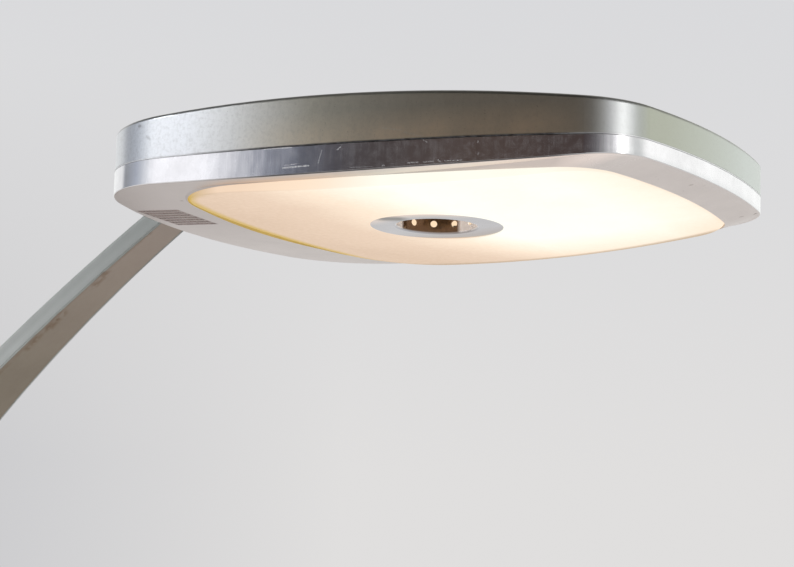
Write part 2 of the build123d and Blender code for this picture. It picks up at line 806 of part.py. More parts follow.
def foot_bolt_places():
    x = foot_plate_length / 2 - foot_bolt_inset
    y = foot_plate_width / 2 - foot_bolt_inset
    return [(column_x - x, -y), (column_x - x, y), (column_x + x, -y), (column_x + x, y)]


def make_arm_foot():
    foot = block(
        (column_x - foot_plate_length / 2, -foot_plate_width / 2, weight_top),
        (column_x + foot_plate_length / 2, foot_plate_width / 2, foot_top),
    )
    back = column_x - arm_thickness / 2 + arm_wall + tongue_clearance
    front = column_x + arm_thickness / 2 - arm_cover_sheet - tongue_clearance
    for side in (-1, 1):
        near, far = side * tongue_inner, side * (tongue_inner + tongue_width)
        foot += block((back, min(near, far), foot_top - 1), (front, max(near, far), foot_top + tongue_height))
        foot -= tang_screw(side, stud_clearance)
    for x, y in foot_bolt_places():
        foot -= rod(foot_bolt_radius + stud_clearance, (x, y, 0), (x, y, foot_top + 1))
    x = column_x + arm_thickness / 2 - arm_cover_sheet - lead_seat - lead_radius
    return foot - rod(lead_radius + lead_hole_clearance, (x, 0, 0), (x, 0, foot_top + 1))


def make_foot_bolts():
    bolts = []
    for x, y in foot_bolt_places():
        head = hexagon(foot_bolt_head_radius, foot_bolt_head_height, Plane((x, y, foot_top)))
        bolts.append(head + rod(foot_bolt_radius, (x, y, foot_top - foot_bolt_length), (x, y, foot_top + 1)))
    return bolts


def make_arm_collar():
    inner_x, inner_y = arm_thickness / 2 + collar_clearance, arm_half + collar_clearance
    high = cover_crown_height + collar_rise
    collar = block(
        (column_x - inner_x - collar_width, -inner_y - collar_width, weight_top),
        (column_x + inner_x + collar_width, inner_y + collar_width, high),
    )
    collar = fillet(collar.edges().filter_by(Axis.Z), collar_corner_radius)
    collar = fillet(along(collar, high - 0.1, high + 0.1), collar_edge_radius)
    collar -= block((column_x - inner_x, -inner_y, 0), (column_x + inner_x, inner_y, high + 1))
    return collar - Pos(0, 0, fit_seat) * cover_top


def plate_screw_places():
    return [(x, y) for x in (-plate_screw_x, plate_screw_x) for y in (-plate_screw_y, plate_screw_y)]


def plate_screw(x, y, grow):
    """Flat-headed screw from under the base plate into the weight."""
    seat = felt_thickness + plate_screw_head_height + grow
    screw = rod(plate_screw_head_radius + grow, (x, y, felt_thickness), (x, y, seat))
    return screw + rod(plate_screw_radius + grow, (x, y, felt_thickness), (x, y, seat + plate_screw_length))


def make_base_plate():
    plate = slab(inset(base_outline, base_plate_inset), felt_thickness, plate_top)
    for x, y in plate_screw_places():
        plate -= plate_screw(x, y, stud_clearance)
    return plate


def make_base_weight():
    weight = slab(inset(base_outline, trim_wall + weight_gap), plate_top, weight_top)
    back = -base_back - base_back_bulge
    weight -= block((back, -bush_notch_half, 0), (back + bush_notch_depth, bush_notch_half, weight_top + 1))
    for x, y in plate_screw_places():
        weight -= plate_screw(x, y, stud_clearance)
    for x, y in foot_bolt_places():
        low = foot_top - foot_bolt_length - 1
        weight -= rod(foot_bolt_radius + stud_clearance, (x, y, low), (x, y, foot_top))
    return weight


def make_base_trim():
    trim = slab(base_outline, plate_top, trim_top)
    trim = fillet(along(trim, plate_top - 1, plate_top + 1), trim_edge_radius)
    trim = chamfer(along(trim, trim_top - 0.1, trim_top + 0.1), rim_chamfer)
    trim -= slab(inset(base_outline, trim_wall), plate_top - 1, trim_top + 1)
    outer = cover_wall + rim_lip_clearance
    low, high = trim_top - trim_lip_drop, trim_top + trim_lip_rise
    trim += ring(base_outline, outer, outer + rim_lip_wall, low, high)
    back = -base_back - base_back_bulge
    return trim - rod(bush_radius + fit_seat, (back - 5, 0, bush_height), (back + 10, 0, bush_height))


def make_base_cover():
    low = trim_top + parting_gap
    outside = slab(base_outline, low, cover_crown_height + 1) & cover_top
    outside = fillet(along(outside, low + 1, cover_crown_height + 1), cover_edge_radius)
    inside = slab(inset(base_outline, cover_wall), low - 1, cover_crown_height)
    cover = outside - (inside & Pos(0, 0, -cover_wall) * cover_top)
    slot_x, slot_y = arm_thickness / 2 + cover_slot_clearance, arm_half + cover_slot_clearance
    cover -= block((column_x - slot_x, -slot_y, low), (column_x + slot_x, slot_y, cover_crown_height + 1))
    hole = switch_bezel_radius - switch_bezel_wall + switch_hole_clearance
    return cover - switch_rod(hole, low, cover_crown_height + 1)


def switch_rod(radius, low, high):
    """Upright round bar on the switch's axis."""
    return rod(radius, (switch_x, 0, low), (switch_x, 0, high))


# Heights round the foot switch
switch_run = switch_x - cover_crown_x
switch_fall = cover_crown_length_radius - sqrt(cover_crown_length_radius**2 - switch_run**2)
switch_face = cover_crown_height - switch_fall
bezel_top = switch_face + switch_bezel_rise
skirt_low = switch_face - switch_bezel_skirt
button_low = skirt_low + button_travel + button_floor
stem_low = button_low - button_stem_depth


def make_switch_bezel():
    bezel = switch_rod(switch_bezel_radius, skirt_low, bezel_top)
    bezel = fillet(along(Part(bezel.wrapped), bezel_top - 0.1, bezel_top + 0.1), collar_edge_radius)
    bezel -= Pos(0, 0, fit_seat) * cover_top
    bezel += switch_rod(switch_bezel_radius - switch_bezel_wall, skirt_low, bezel_top - 1)
    return bezel - switch_rod(button_radius + button_clearance, skirt_low - 1, bezel_top + 1)


def make_switch_body():
    body = switch_rod(switch_body_radius, weight_top, skirt_low)
    low = stem_low - button_travel - button_floor
    return body - switch_rod(button_stem_radius + pin_clearance, low, bezel_top)


def make_switch_button():
    high = bezel_top + button_rise
    button = switch_rod(button_radius, button_low, high)
    button = fillet(along(Part(button.wrapped), high - 0.1, high + 0.1), button_edge_radius)
    return button + switch_rod(button_stem_radius, stem_low, button_low + 1)


def make_cord_bush():
    back = -base_back - base_back_bulge
    outer = back - bush_flange
    inner = back + trim_wall + bush_flange
    bush = rod(bush_flange_radius, (outer, 0, bush_height), (back + 1, 0, bush_height))
    bush -= slab(inset(base_outline, -fit_seat), 0, trim_top)
    lip = rod(bush_inner_radius, (back, 0, bush_height), (inner, 0, bush_height))
    bush += lip & slab(inset(base_outline, trim_wall + fit_seat), 0, trim_top)
    bush += rod(bush_radius, (outer, 0, bush_height), (inner, 0, bush_height))
    return bush - rod(bush_bore_radius, (outer - 1, 0, bush_height), (inner + 1, 0, bush_height))


head_pieces = {
    "head_shell": make_head_shell(),
    "rim_frame": make_rim_frame(),
    "rim_clips": make_rim_clips(),
    "diffuser": make_diffuser(),
    "vent_cup": make_vent_cup(),
    "centre_stud": make_centre_stud(),
    "cup_nut": make_cup_nut(),
    "reflector": make_reflector(),
    "holder_bracket": make_holder_bracket(),
    "lamp_holder_left": make_lamp_holder(1),
    "lamp_holder_right": make_lamp_holder(-1),
    "bulb_left": make_bulb(1),
    "bulb_right": make_bulb(-1),
    "terminal_block": make_terminal_block(),
    "hinge_bracket": make_hinge_bracket(),
    "backing_plate": make_backing_plate(),
    "bracket_screws": make_bracket_screws(),
    "hinge_pin": make_hinge_pin(),
    "hinge_nut": make_hinge_nut(),
    "friction_washers": make_washers(),
}
stand_pieces = {
    "arm_channel": make_arm_channel(),
    "arm_cover": make_arm_cover(),
    "arm_knuckle": make_arm_knuckle(),
    "arm_lead": make_arm_lead(),
    "arm_foot": make_arm_foot(),
    "foot_bolts": make_foot_bolts(),
    "tang_screws": [tang_screw(-1, 0), tang_screw(1, 0)],
    "arm_collar": make_arm_collar(),
    "base_weight": make_base_weight(),
    "base_plate": make_base_plate(),
    "felt_pad": slab(inset(base_outline, felt_inset), 0, felt_thickness),
    "plate_screws": [plate_screw(x, y, 0) for x, y in plate_screw_places()],
    "base_trim": make_base_trim(),
    "base_cover": make_base_cover(),
    "switch_bezel": make_switch_bezel(),
    "switch_body": make_switch_body(),
    "switch_button": make_switch_button(),
    "cord_bush": make_cord_bush(),
}


def whole(piece):
    """One solid, or a group of separate solids."""
    parts = piece if isinstance(piece, list) else [piece]
    solids = [solid for part in parts for solid in part.solids()]
    return solids[0] if len(solids) == 1 else Compound(solids)


os.makedirs("parts", exist_ok=True)
for name, piece in head_pieces.items():
    export_step(head_place * whole(piece), f"parts/{name}.step")
for name, piece in stand_pieces.items():
    export_step(whole(piece), f"parts/{name}.step")
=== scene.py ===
import math

import bmesh
import bpy
from mathutils import Matrix, Vector


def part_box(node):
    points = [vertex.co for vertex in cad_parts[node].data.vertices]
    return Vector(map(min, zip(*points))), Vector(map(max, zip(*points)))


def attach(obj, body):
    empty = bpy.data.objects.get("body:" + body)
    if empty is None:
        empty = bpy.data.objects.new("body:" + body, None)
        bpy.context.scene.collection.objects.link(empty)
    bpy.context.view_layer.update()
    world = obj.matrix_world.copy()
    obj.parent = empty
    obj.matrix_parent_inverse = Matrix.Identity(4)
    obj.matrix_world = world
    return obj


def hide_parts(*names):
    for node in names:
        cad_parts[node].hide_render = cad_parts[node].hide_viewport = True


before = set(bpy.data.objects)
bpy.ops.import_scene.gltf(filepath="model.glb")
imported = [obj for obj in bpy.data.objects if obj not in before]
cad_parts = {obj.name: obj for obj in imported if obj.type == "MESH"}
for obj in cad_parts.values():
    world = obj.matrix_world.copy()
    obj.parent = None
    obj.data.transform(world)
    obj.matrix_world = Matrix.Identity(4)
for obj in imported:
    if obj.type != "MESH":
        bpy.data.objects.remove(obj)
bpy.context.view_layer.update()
bpy.ops.object.select_all(action="DESELECT")
print("frame loaded:", len(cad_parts), "nodes")

# the head's own frame: over the middle of the cup, on the parting line
partingHalf = 0.0003
cupLow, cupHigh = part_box("vent_cup")
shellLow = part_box("head_shell")[0]
headAt = Vector(((cupLow[0] + cupHigh[0]) / 2, 0.0, shellLow[2] - partingHalf))

milli = 1000
rising = (0.0, 1.0)
falling = (1.0, 0.0)
noiseSpan = (0.3, 0.7)  # where most values of a noise lie
toneSpan = (0.35, 0.65)
strokeSoft = (0.4, 1.6)  # where a stroke starts and ends to fade, in half widths
black = (0.0, 0.0, 0.0)


def addToScene(item):
    bpy.context.scene.collection.objects.link(item)


def coat(mesh, material):
    mesh.materials.clear()
    mesh.materials.append(material)


def startMaterial(name):
    material = bpy.data.materials.new(name)
    material.use_nodes = True
    tree = material.node_tree
    tree.nodes.clear()
    output = tree.nodes.new("ShaderNodeOutputMaterial")
    shader = tree.nodes.new("ShaderNodeBsdfPrincipled")
    tree.links.new(shader.outputs[0], output.inputs["Surface"])
    return material, tree, shader


def addNode(tree, kind, links=None, **values):
    node = tree.nodes.new(kind)
    for key, value in values.items():
        if key in node.inputs:
            node.inputs[key].default_value = value
        else:
            setattr(node, key, value)
    for key, source in (links or {}).items():
        tree.links.new(source, node.inputs[key])
    return node


# a socket takes a number, a colour or another node's output
def feed(tree, socket, value):
    if isinstance(value, (int, float)):
        socket.default_value = value
    elif isinstance(value, tuple):
        socket.default_value = (*value, 1.0)
    else:
        tree.links.new(value, socket)


def dress(tree, shader, inputs):
    for key, value in inputs.items():
        feed(tree, shader.inputs[key], value)


def place(tree, scale=(1, 1, 1), shift=(0, 0, 0)):
    coords = addNode(tree, "ShaderNodeTexCoord")
    mapping = addNode(tree, "ShaderNodeMapping", {"Vector": coords.outputs["Object"]})
    mapping.inputs["Location"].default_value = shift
    mapping.inputs["Scale"].default_value = scale
    return mapping.outputs[0]


# millimetres in the head's own frame
def headPlace(tree):
    return place(tree, (milli, milli, milli), headAt * -milli)


def split(tree, where):
    return addNode(tree, "ShaderNodeSeparateXYZ", {"Vector": where}).outputs


# 1 where the surface looks up, -1 where it looks down
def facing(tree):
    coords = addNode(tree, "ShaderNodeTexCoord")
    return split(tree, coords.outputs["Normal"])["Z"]


def noise(tree, size, detail=4.0, rough=0.55, stretch=(1, 1, 1)):
    where = place(tree, tuple(s / size for s in stretch))
    node = addNode(tree, "ShaderNodeTexNoise", {"Vector": where}, Scale=1.0, Detail=detail, Roughness=rough)
    return node.outputs["Fac"]


def pits(tree, size):
    where = place(tree, (1 / size, 1 / size, 1 / size))
    return addNode(tree, "ShaderNodeTexVoronoi", {"Vector": where}, Scale=1.0).outputs["Distance"]


def ramp(tree, source, stops):
    node = addNode(tree, "ShaderNodeValToRGB", {"Fac": source})
    while len(node.color_ramp.elements) < len(stops):
        node.color_ramp.elements.new(0.5)
    for element, (at, colour) in zip(node.color_ramp.elements, stops):
        element.position = at
        element.color = (*colour, 1.0)
    return node.outputs["Color"]


def twoTone(tree, tone, dark, light, stops=(0.34, 0.64)):
    return ramp(tree, tone, [(stops[0], dark), (stops[1], light)])


def greys(stops, share=1.0):
    return [(stop, (value * share,) * 3) for stop, value in stops]


def darker(colour, share):
    return tuple(c * share for c in colour)


def remap(tree, source, span, to=rising):
    node = addNode(tree, "ShaderNodeMapRange", {"Value": source})
    for key, value in zip(("From Min", "From Max", "To Min", "To Max"), (*span, *to)):
        node.inputs[key].default_value = value
    return node.outputs["Result"]


def sums(tree, operation, first, second):
    node = addNode(tree, "ShaderNodeMath", operation=operation)
    for socket, value in zip(node.inputs, (first, second)):
        feed(tree, socket, value)
    return node.outputs[0]


def times(tree, *factors):
    total = factors[0]
    for factor in factors[1:]:
        total = sums(tree, "MULTIPLY", total, factor)
    return total


# rises over the first two numbers of the span and falls over the last two
def between(tree, source, span, most=1.0):
    return times(tree, remap(tree, source, span[:2], (0.0, most)), remap(tree, source, span[2:], falling))


def reachOf(tree, x, y):
    squares = sums(tree, "ADD", times(tree, x, x), times(tree, y, y))
    return sums(tree, "SQRT", squares, 0.0)


def blendOf(tree, first, second, share):
    return sums(tree, "ADD", times(tree, first, 1 - share), times(tree, second, share))


def mixColour(tree, factor, first, second):
    node = addNode(tree, "ShaderNodeMix", data_type="RGBA")
    for key, value in ((0, factor), (6, first), (7, second)):
        feed(tree, node.inputs[key], value)
    return node.outputs[2]


def mixValue(tree, factor, first, second):
    node = addNode(tree, "ShaderNodeMix", data_type="FLOAT")
    for key, value in ((0, factor), (2, first), (3, second)):
        feed(tree, node.inputs[key], value)
    return node.outputs[0]


def bump(tree, shader, height, strength, distance=0.0002, under=None):
    node = addNode(tree, "ShaderNodeBump", {"Height": height}, Strength=strength, Distance=distance)
    if under is not None:
        tree.links.new(under, node.inputs["Normal"])
    tree.links.new(node.outputs[0], shader.inputs["Normal"])
    return node.outputs[0]


# how near a point is to a line drawn on the surface: 1 on it, 0 away from it
def stroke(tree, where, start, end, half):
    start, end = Vector(start), Vector(end)
    step = end - start
    away = addNode(tree, "ShaderNodeVectorMath", {0: where}, operation="SUBTRACT")
    away.inputs[1].default_value = start
    along = addNode(tree, "ShaderNodeVectorMath", {0: away.outputs[0]}, operation="DOT_PRODUCT")
    along.inputs[1].default_value = step / step.length_squared
    held = addNode(tree, "ShaderNodeClamp", {"Value": along.outputs["Value"]})
    reach = addNode(tree, "ShaderNodeVectorMath", {"Scale": held.outputs[0]}, operation="SCALE")
    reach.inputs[0].default_value = step
    ends = {0: away.outputs[0], 1: reach.outputs[0]}
    gap = addNode(tree, "ShaderNodeVectorMath", ends, operation="DISTANCE")
    return remap(tree, gap.outputs["Value"], [half * soft for soft in strokeSoft], falling)


# marks are given as start, end, half width and strength
def strokes(tree, where, marks):
    total = None
    for start, end, half, strength in marks:
        one = times(tree, stroke(tree, where, start, end, half), strength)
        total = one if total is None else sums(tree, "MAXIMUM", total, one)
    return total


# painted shade along the parting line: darker along the middle of the sides and less towards the ends
partingShade = {"backX": ((-95.0, -35.0), (0.05, 1.0)), "frontX": ((140.0, 178.0), (1.0, 0.05))}


def partingShaded(tree, at):
    return times(tree, *(remap(tree, at["X"], *partingShade[key]) for key in ("backX", "frontX")))


# in the looks, places are millimetres in the head's own frame, a change over a range is given as
# the range and what it goes to, and a noise as size in metres, detail, roughness and stretch
headPaintLook = {
    "light": (0.57, 0.545, 0.45),
    "dark": (0.47, 0.445, 0.36),
    "lines": (0.0009, 3.0, 0.6, (1, 1, 0.025)),
    "cloud": (0.045, 4.0),
    "grain": (0.00045, 2.0),
    "mottle": (0.005, 4.0, 0.65),
    "mottleShare": 0.45,
    "grainShare": 0.75,
    "fineShare": 0.35,
    "rough": (noiseSpan, (0.27, 0.32)),
    "roughLines": 0.3,
    "metallic": 0.92,
    "bumpLines": 0.2,
    "bump": 0.035,
    # painted reflection tints: cooler at the back end, greener at the front and paler at its far part
    "cool": (0.76, 0.77, 0.785),
    "coolX": ((-95.0, -5.0), falling),
    "green": (0.425, 0.44, 0.365),
    "pale": (0.54, 0.575, 0.54),
    "paleY": ((-70.0, 50.0), rising),
    "frontX": ((166.0, 184.0), rising),
    # the front corner: rubbed rougher, and its colour paled to a neutral grey as a painted highlight
    "rubbed": (0.62, 0.63, 0.625),
    "cornerX": ((120.0, 150.0), rising),
    "cornerY": (-119.0, -111.0, -100.0, -88.0),
    "cornerRough": 0.41,
    # painted warm light low on the near side
    "warm": (0.88, 0.73, 0.525),
    "warmX": (-60.0, 40.0, 130.0, 165.0),
    "warmY": ((-100.0, -60.0), falling),
    "warmZ": ((6.0, 20.0), (1.0, 0.05)),
    "warmCloud": ((0.4, 0.6), (0.6, 1.0)),
    # the top, a painted dark reflection on its rounded edge and painted shade along the parting line
    "top": (0.60, 0.59, 0.555),
    "topDark": 0.88,
    "topFacing": ((0.45, 0.85), rising),
    "edge": (0.15, 0.145, 0.125),
    "edgeFacing": (0.12, 0.35, 0.6, 0.85),
    "edgeShare": 0.7,
    "soil": (0.03, 0.027, 0.024),
    "soilZ": ((0.35, 0.75), (0.9, 0.0)),
    "soilWander": 1.6,
    "wanderShare": 0.4,
    # small marks
    "speck": (0.26, 0.25, 0.22),
    "specks": (0.0022, 5.0, 0.75),
    "speckShare": ((0.46, 0.72), (0.0, 0.28)),
    "speckX": ((-60.0, 80.0), (1.0, 0.4)),
    "bare": (0.78, 0.77, 0.72),
    "bareGrain": ((0.45, 0.6), (0.0, 0.7)),
    "rubs": [
        ((40.0, -143.6, 7.4), (52.0, -141.7, 5.4), 0.35, 0.8),
        ((54.0, -141.3, 4.0), (64.0, -139.7, 1.0), 0.4, 0.8),
    ],
    # painted shade in two small dents
    "dent": (0.14, 0.13, 0.12),
    "dentGrain": ((0.35, 0.6), (0.3, 0.8)),
    "dents": [
        ((-131.5, -150.0, 21.8), (-130.0, -149.6, 21.5), 0.9, 0.9),
        ((-124.0, -151.0, 14.0), (-121.0, -151.4, 12.0), 0.8, 0.5),
    ],
}


def ageHead(tree, look, colour, rough, tone, cloud, grain):
    where = headPlace(tree)
    at = split(tree, where)
    up = facing(tree)
    # painted reflection tints at the back end and the front
    colour = mixColour(tree, remap(tree, at["X"], *look["coolX"]), colour, look["cool"])
    front = mixColour(tree, remap(tree, at["Y"], *look["paleY"]), look["green"], look["pale"])
    colour = mixColour(tree, remap(tree, at["X"], *look["frontX"]), colour, front)
    # painted highlight on the front corner, which is also rougher
    corner = times(tree, between(tree, at["Y"], look["cornerY"]), remap(tree, at["X"], *look["cornerX"]))
    colour = mixColour(tree, corner, colour, look["rubbed"])
    rough = mixValue(tree, corner, rough, look["cornerRough"])
    paintedWarmLight = times(
        tree,
        remap(tree, at["Z"], *look["warmZ"]),
        remap(tree, cloud, *look["warmCloud"]),
        between(tree, at["X"], look["warmX"]),
        remap(tree, at["Y"], *look["warmY"]),
    )
    colour = mixColour(tree, paintedWarmLight, colour, look["warm"])
    top = twoTone(tree, tone, darker(look["top"], look["topDark"]), look["top"])
    colour = mixColour(tree, remap(tree, up, *look["topFacing"]), colour, top)
    rubbed = times(tree, strokes(tree, where, look["rubs"]), remap(tree, grain, *look["bareGrain"]))
    colour = mixColour(tree, rubbed, colour, look["bare"])
    specks = remap(tree, noise(tree, *look["specks"]), *look["speckShare"])
    specks = times(tree, specks, remap(tree, at["X"], *look["speckX"]))
    colour = mixColour(tree, specks, colour, look["speck"])
    # painted dark reflection on the rounded top edge
    colour = mixColour(tree, between(tree, up, look["edgeFacing"], look["edgeShare"]), colour, look["edge"])
    # painted shade in the dents
    dented = times(tree, strokes(tree, where, look["dents"]), remap(tree, grain, *look["dentGrain"]))
    colour = mixColour(tree, dented, colour, look["dent"])
    # painted shade along the parting line
    level = blendOf(tree, at["Z"], times(tree, cloud, look["soilWander"]), look["wanderShare"])
    soil = times(tree, remap(tree, level, *look["soilZ"]), partingShaded(tree, at))
    return mixColour(tree, soil, colour, look["soil"]), rough


def makeHeadPaint(name, look, onHead):
    material, tree, shader = startMaterial(name)
    lines, cloud, grain, mottle = (noise(tree, *look[key]) for key in ("lines", "cloud", "grain", "mottle"))
    broad = blendOf(tree, cloud, mottle, look["mottleShare"])
    tone = blendOf(tree, broad, blendOf(tree, lines, grain, look["grainShare"]), look["fineShare"])
    colour = twoTone(tree, tone, look["dark"], look["light"])
    rough = remap(tree, blendOf(tree, grain, lines, look["roughLines"]), *look["rough"])
    if onHead:
        colour, rough = ageHead(tree, look, colour, rough, tone, cloud, grain)
    dress(tree, shader, {"Base Color": colour, "Roughness": rough, "Metallic": look["metallic"]})
    bump(tree, shader, blendOf(tree, grain, lines, look["bumpLines"]), look["bump"])
    return material


rimLook = {
    "bright": (0.89, 0.88, 0.89),
    "dull": (0.78, 0.77, 0.78),
    "stops": (0.36, 0.6),
    "lines": (0.0008, 4.0, 0.65, (1, 1, 0.03)),
    "smear": (0.022, 4.0),
    "grain": (0.0004, 2.0),
    "lineShare": 0.3,
    "rough": (toneSpan, (0.051, 0.1445)),
    "bump": 0.05,
    "waves": (0.014, 2.0, 0.5, (1, 1, 0.4)),  # hand polishing leaves the face slightly wavy
    "waveBump": (0.17, 0.0007),
    # the satin underside, pitted, and duller where hands hold it
    "downFacing": ((-0.85, -0.45), falling),
    "under": (0.77, 0.71, 0.68),
    "underDark": 0.9,
    "underGrain": 0.4,
    "underStops": (0.30, 0.6),
    "underRough": (noiseSpan, (0.34, 0.44)),
    "underDull": (0.52, 0.465, 0.45),
    "dullX": ((-150.0, 60.0), (0.7, 0.0)),
    "dullY": ((-60.0, 60.0), (1.0, 0.2)),
    "pit": (0.42, 0.36, 0.34),
    "pitSize": 0.006,
    "pitSmear": 0.25,
    "pitDepth": ((0.15, 0.21), (0.5, 0.0)),
    "pitBump": 0.3,
    "lit": (1.0, 0.88, 0.82),  # the near margin, by the bright part of the diffuser
    "litX": ((30.0, 110.0), rising),
    "litY": ((-100.0, -112.0), rising),
    # the grip's grooves, which lie above the crown of the underside
    "crown": {"x": -33.0, "low": -21.5, "across": 6580.0, "along": 5660.0},
    # the grooved patch is painted darker, a painted shade of its grooves
    "grip": (0.34, 0.27, 0.245),
    "gripX": (-178.5, -177.0, -146.0, -144.5),
    "gripY": (-84.0, -82.5, -35.5, -34.0),
    "gripZ": ((-24.0, -14.0), (1.0, 0.9)),
    "groove": (0.62, 0.515, 0.475),
    "grooveDepth": ((0.15, 0.7), rising),
    "grooveRough": 0.7,
    # the lower front, darker and greyer as a painted reflection, and the front corner
    "worn": (0.58, 0.60, 0.605),
    "wornX": ((150.0, 172.0), rising),
    "wornZ": ((-16.0, -8.0), (0.75, 0.0)),
    "cornerX": ((150.0, 168.0), rising),
    "cornerY": ((-98.0, -84.0), falling),
    "cornerRough": ((0.4, 0.6), (0.13, 0.22)),
    # painted shade along the parting line and a painted shadow along the lower edge
    "soil": (0.035, 0.03, 0.03),
    "soilZ": ((-1.0, -0.62), (0.0, 0.93)),
    "soilWander": -2.0,
    "wanderShare": 0.4,
    "lowerSide": ((-0.30, -0.08), (0.92, 0.0)),
    "lowerUnder": ((-0.95, -0.70), rising),
    # rubbing and fine scratches, which show where the metal mirrors a dark wall
    "haze": 0.90,
    "scuffs": (0.005, 5.0, 0.7),
    "scuffShare": ((0.42, 0.62), rising),
    "scuffLines": ((0.42, 0.6), (0.3, 1.0)),
    # nicks are bare rough metal, spots are dark
    "nick": (0.88, 0.87, 0.86),
    "nickGrain": ((0.40, 0.56), (0.0, 0.75)),
    "nickRough": 0.6,
    "nickMetallic": 0.15,
    "nicks": [
        ((-24.0, -150.5, -13.3), (-7.0, -149.1, -12.9), 0.42, 1.0),
        ((-23.4, -150.4, -11.9), (-13.4, -149.7, -11.3), 0.25, 0.5),
        ((1.4, -148.3, -3.7), (-0.7, -148.5, -12.1), 0.18, 0.5),
        ((11.5, -147.2, -4.3), (13.7, -147.0, -2.7), 0.28, 0.8),
        ((56.5, -140.9, -14.6), (62.7, -139.9, -14.4), 0.34, 0.6),
        ((66.0, -139.2, -14.5), (72.0, -138.2, -14.3), 0.30, 0.6),
        ((74.8, -137.7, -13.6), (76.6, -137.3, -14.9), 0.36, 0.6),
        ((79.0, -136.9, -14.3), (89.1, -134.9, -14.3), 0.30, 0.6),
        ((40.6, -143.4, -15.5), (41.6, -143.2, -15.4), 0.45, 0.7),
        ((65.4, -139.4, -1.2), (68.5, -138.9, -3.0), 0.22, 0.5),
        ((98.5, -132.9, -3.0), (98.4, -132.9, -3.9), 0.30, 0.6),
        ((98.7, -132.9, -10.4), (98.7, -132.9, -11.4), 0.26, 0.5),
        ((-38.0, -151.4, -0.8), (-19.1, -150.1, -1.0), 0.34, 0.8),
        ((-57.7, -152.3, -0.9), (-47.0, -151.9, -0.9), 0.24, 0.6),
        ((20.0, -146.2, -15.6), (34.0, -144.4, -15.7), 0.20, 0.4),
    ],
    "spot": (0.30, 0.24, 0.21),
    "spots": [
        ((184.2, -18.9, -13.9), (185.0, -18.4, -13.8), 0.9, 0.5),
        ((175.7, 83.6, -14.5), (176.5, 84.4, -14.4), 1.0, 0.5),
        ((-126.4, -106.8, -18.2), (-125.4, -107.6, -18.2), 0.9, 0.6),
        ((183.0, 89.3, -12.2), (184.4, 88.2, -11.8), 0.9, 0.7),
    ],
}


# how far a point lies above the crown of the rim's underside
def crownDepth(tree, at, crown):
    along = sums(tree, "SUBTRACT", at["X"], crown["x"])
    bulgeAlong = sums(tree, "DIVIDE", times(tree, along, along), crown["along"])
    bulgeAcross = sums(tree, "DIVIDE", times(tree, at["Y"], at["Y"]), crown["across"])
    height = sums(tree, "SUBTRACT", at["Z"], crown["low"])
    return sums(tree, "SUBTRACT", height, sums(tree, "ADD", bulgeAlong, bulgeAcross))


def makeSatin(tree, look, at, smear, grain, pitted):
    tone = blendOf(tree, smear, grain, look["underGrain"])
    dark = darker(look["under"], look["underDark"])
    satin = twoTone(tree, tone, dark, look["under"], look["underStops"])
    satin = mixColour(tree, pitted, satin, look["pit"])
    handled = times(tree, remap(tree, at["X"], *look["dullX"]), remap(tree, at["Y"], *look["dullY"]))
    return mixColour(tree, handled, satin, look["underDull"])


def ageRim(tree, look, colour, rough, lines, smear, grain):
    where = headPlace(tree)
    at = split(tree, where)
    up = facing(tree)
    down = remap(tree, up, *look["downFacing"])
    pitDepth = sums(tree, "ADD", pits(tree, look["pitSize"]), times(tree, smear, look["pitSmear"]))
    pitted = remap(tree, pitDepth, *look["pitDepth"])
    colour = mixColour(tree, down, colour, makeSatin(tree, look, at, smear, grain, pitted))
    rough = mixValue(tree, down, rough, remap(tree, grain, *look["underRough"]))
    grip = times(
        tree,
        between(tree, at["X"], look["gripX"]),
        between(tree, at["Y"], look["gripY"]),
        remap(tree, at["Z"], *look["gripZ"]),
    )
    # painted shade over the grooved patch
    colour = mixColour(tree, times(tree, grip, down), colour, look["grip"])
    # painted reflection: the lower front darker
    worn = times(tree, remap(tree, at["X"], *look["wornX"]), remap(tree, at["Z"], *look["wornZ"]))
    worn = times(tree, worn, sums(tree, "SUBTRACT", 1.0, down))
    colour = mixColour(tree, worn, colour, look["worn"])
    lit = times(tree, remap(tree, at["X"], *look["litX"]), remap(tree, at["Y"], *look["litY"]), down)
    colour = mixColour(tree, lit, colour, look["lit"])
    inside = times(tree, grip, remap(tree, crownDepth(tree, at, look["crown"]), *look["grooveDepth"]))
    colour = mixColour(tree, inside, colour, look["groove"])
    rough = mixValue(tree, inside, rough, look["grooveRough"])
    nicked = times(tree, strokes(tree, where, look["nicks"]), remap(tree, grain, *look["nickGrain"]))
    colour = mixColour(tree, nicked, colour, look["nick"])
    rough = mixValue(tree, nicked, rough, look["nickRough"])
    corner = times(tree, remap(tree, at["X"], *look["cornerX"]), remap(tree, at["Y"], *look["cornerY"]))
    rough = mixValue(tree, corner, rough, remap(tree, lines, *look["cornerRough"]))
    colour = mixColour(tree, strokes(tree, where, look["spots"]), colour, look["spot"])
    # painted shade along the parting line and painted shadow along the lower edge
    level = blendOf(tree, at["Z"], times(tree, smear, look["soilWander"]), look["wanderShare"])
    seam = remap(tree, level, *look["soilZ"])
    lower = times(tree, remap(tree, up, *look["lowerSide"]), remap(tree, up, *look["lowerUnder"]))
    soil = times(tree, sums(tree, "MAXIMUM", seam, lower), partingShaded(tree, at))
    colour = mixColour(tree, soil, colour, look["soil"])
    scuffed = remap(tree, noise(tree, *look["scuffs"]), *look["scuffShare"])
    haze = times(tree, scuffed, remap(tree, lines, *look["scuffLines"]))
    metallic = mixValue(tree, haze, 1.0, look["haze"])
    metallic = mixValue(tree, sums(tree, "MAXIMUM", inside, nicked), metallic, look["nickMetallic"])
    return colour, rough, metallic, blendOf(tree, lines, pitted, look["pitBump"])


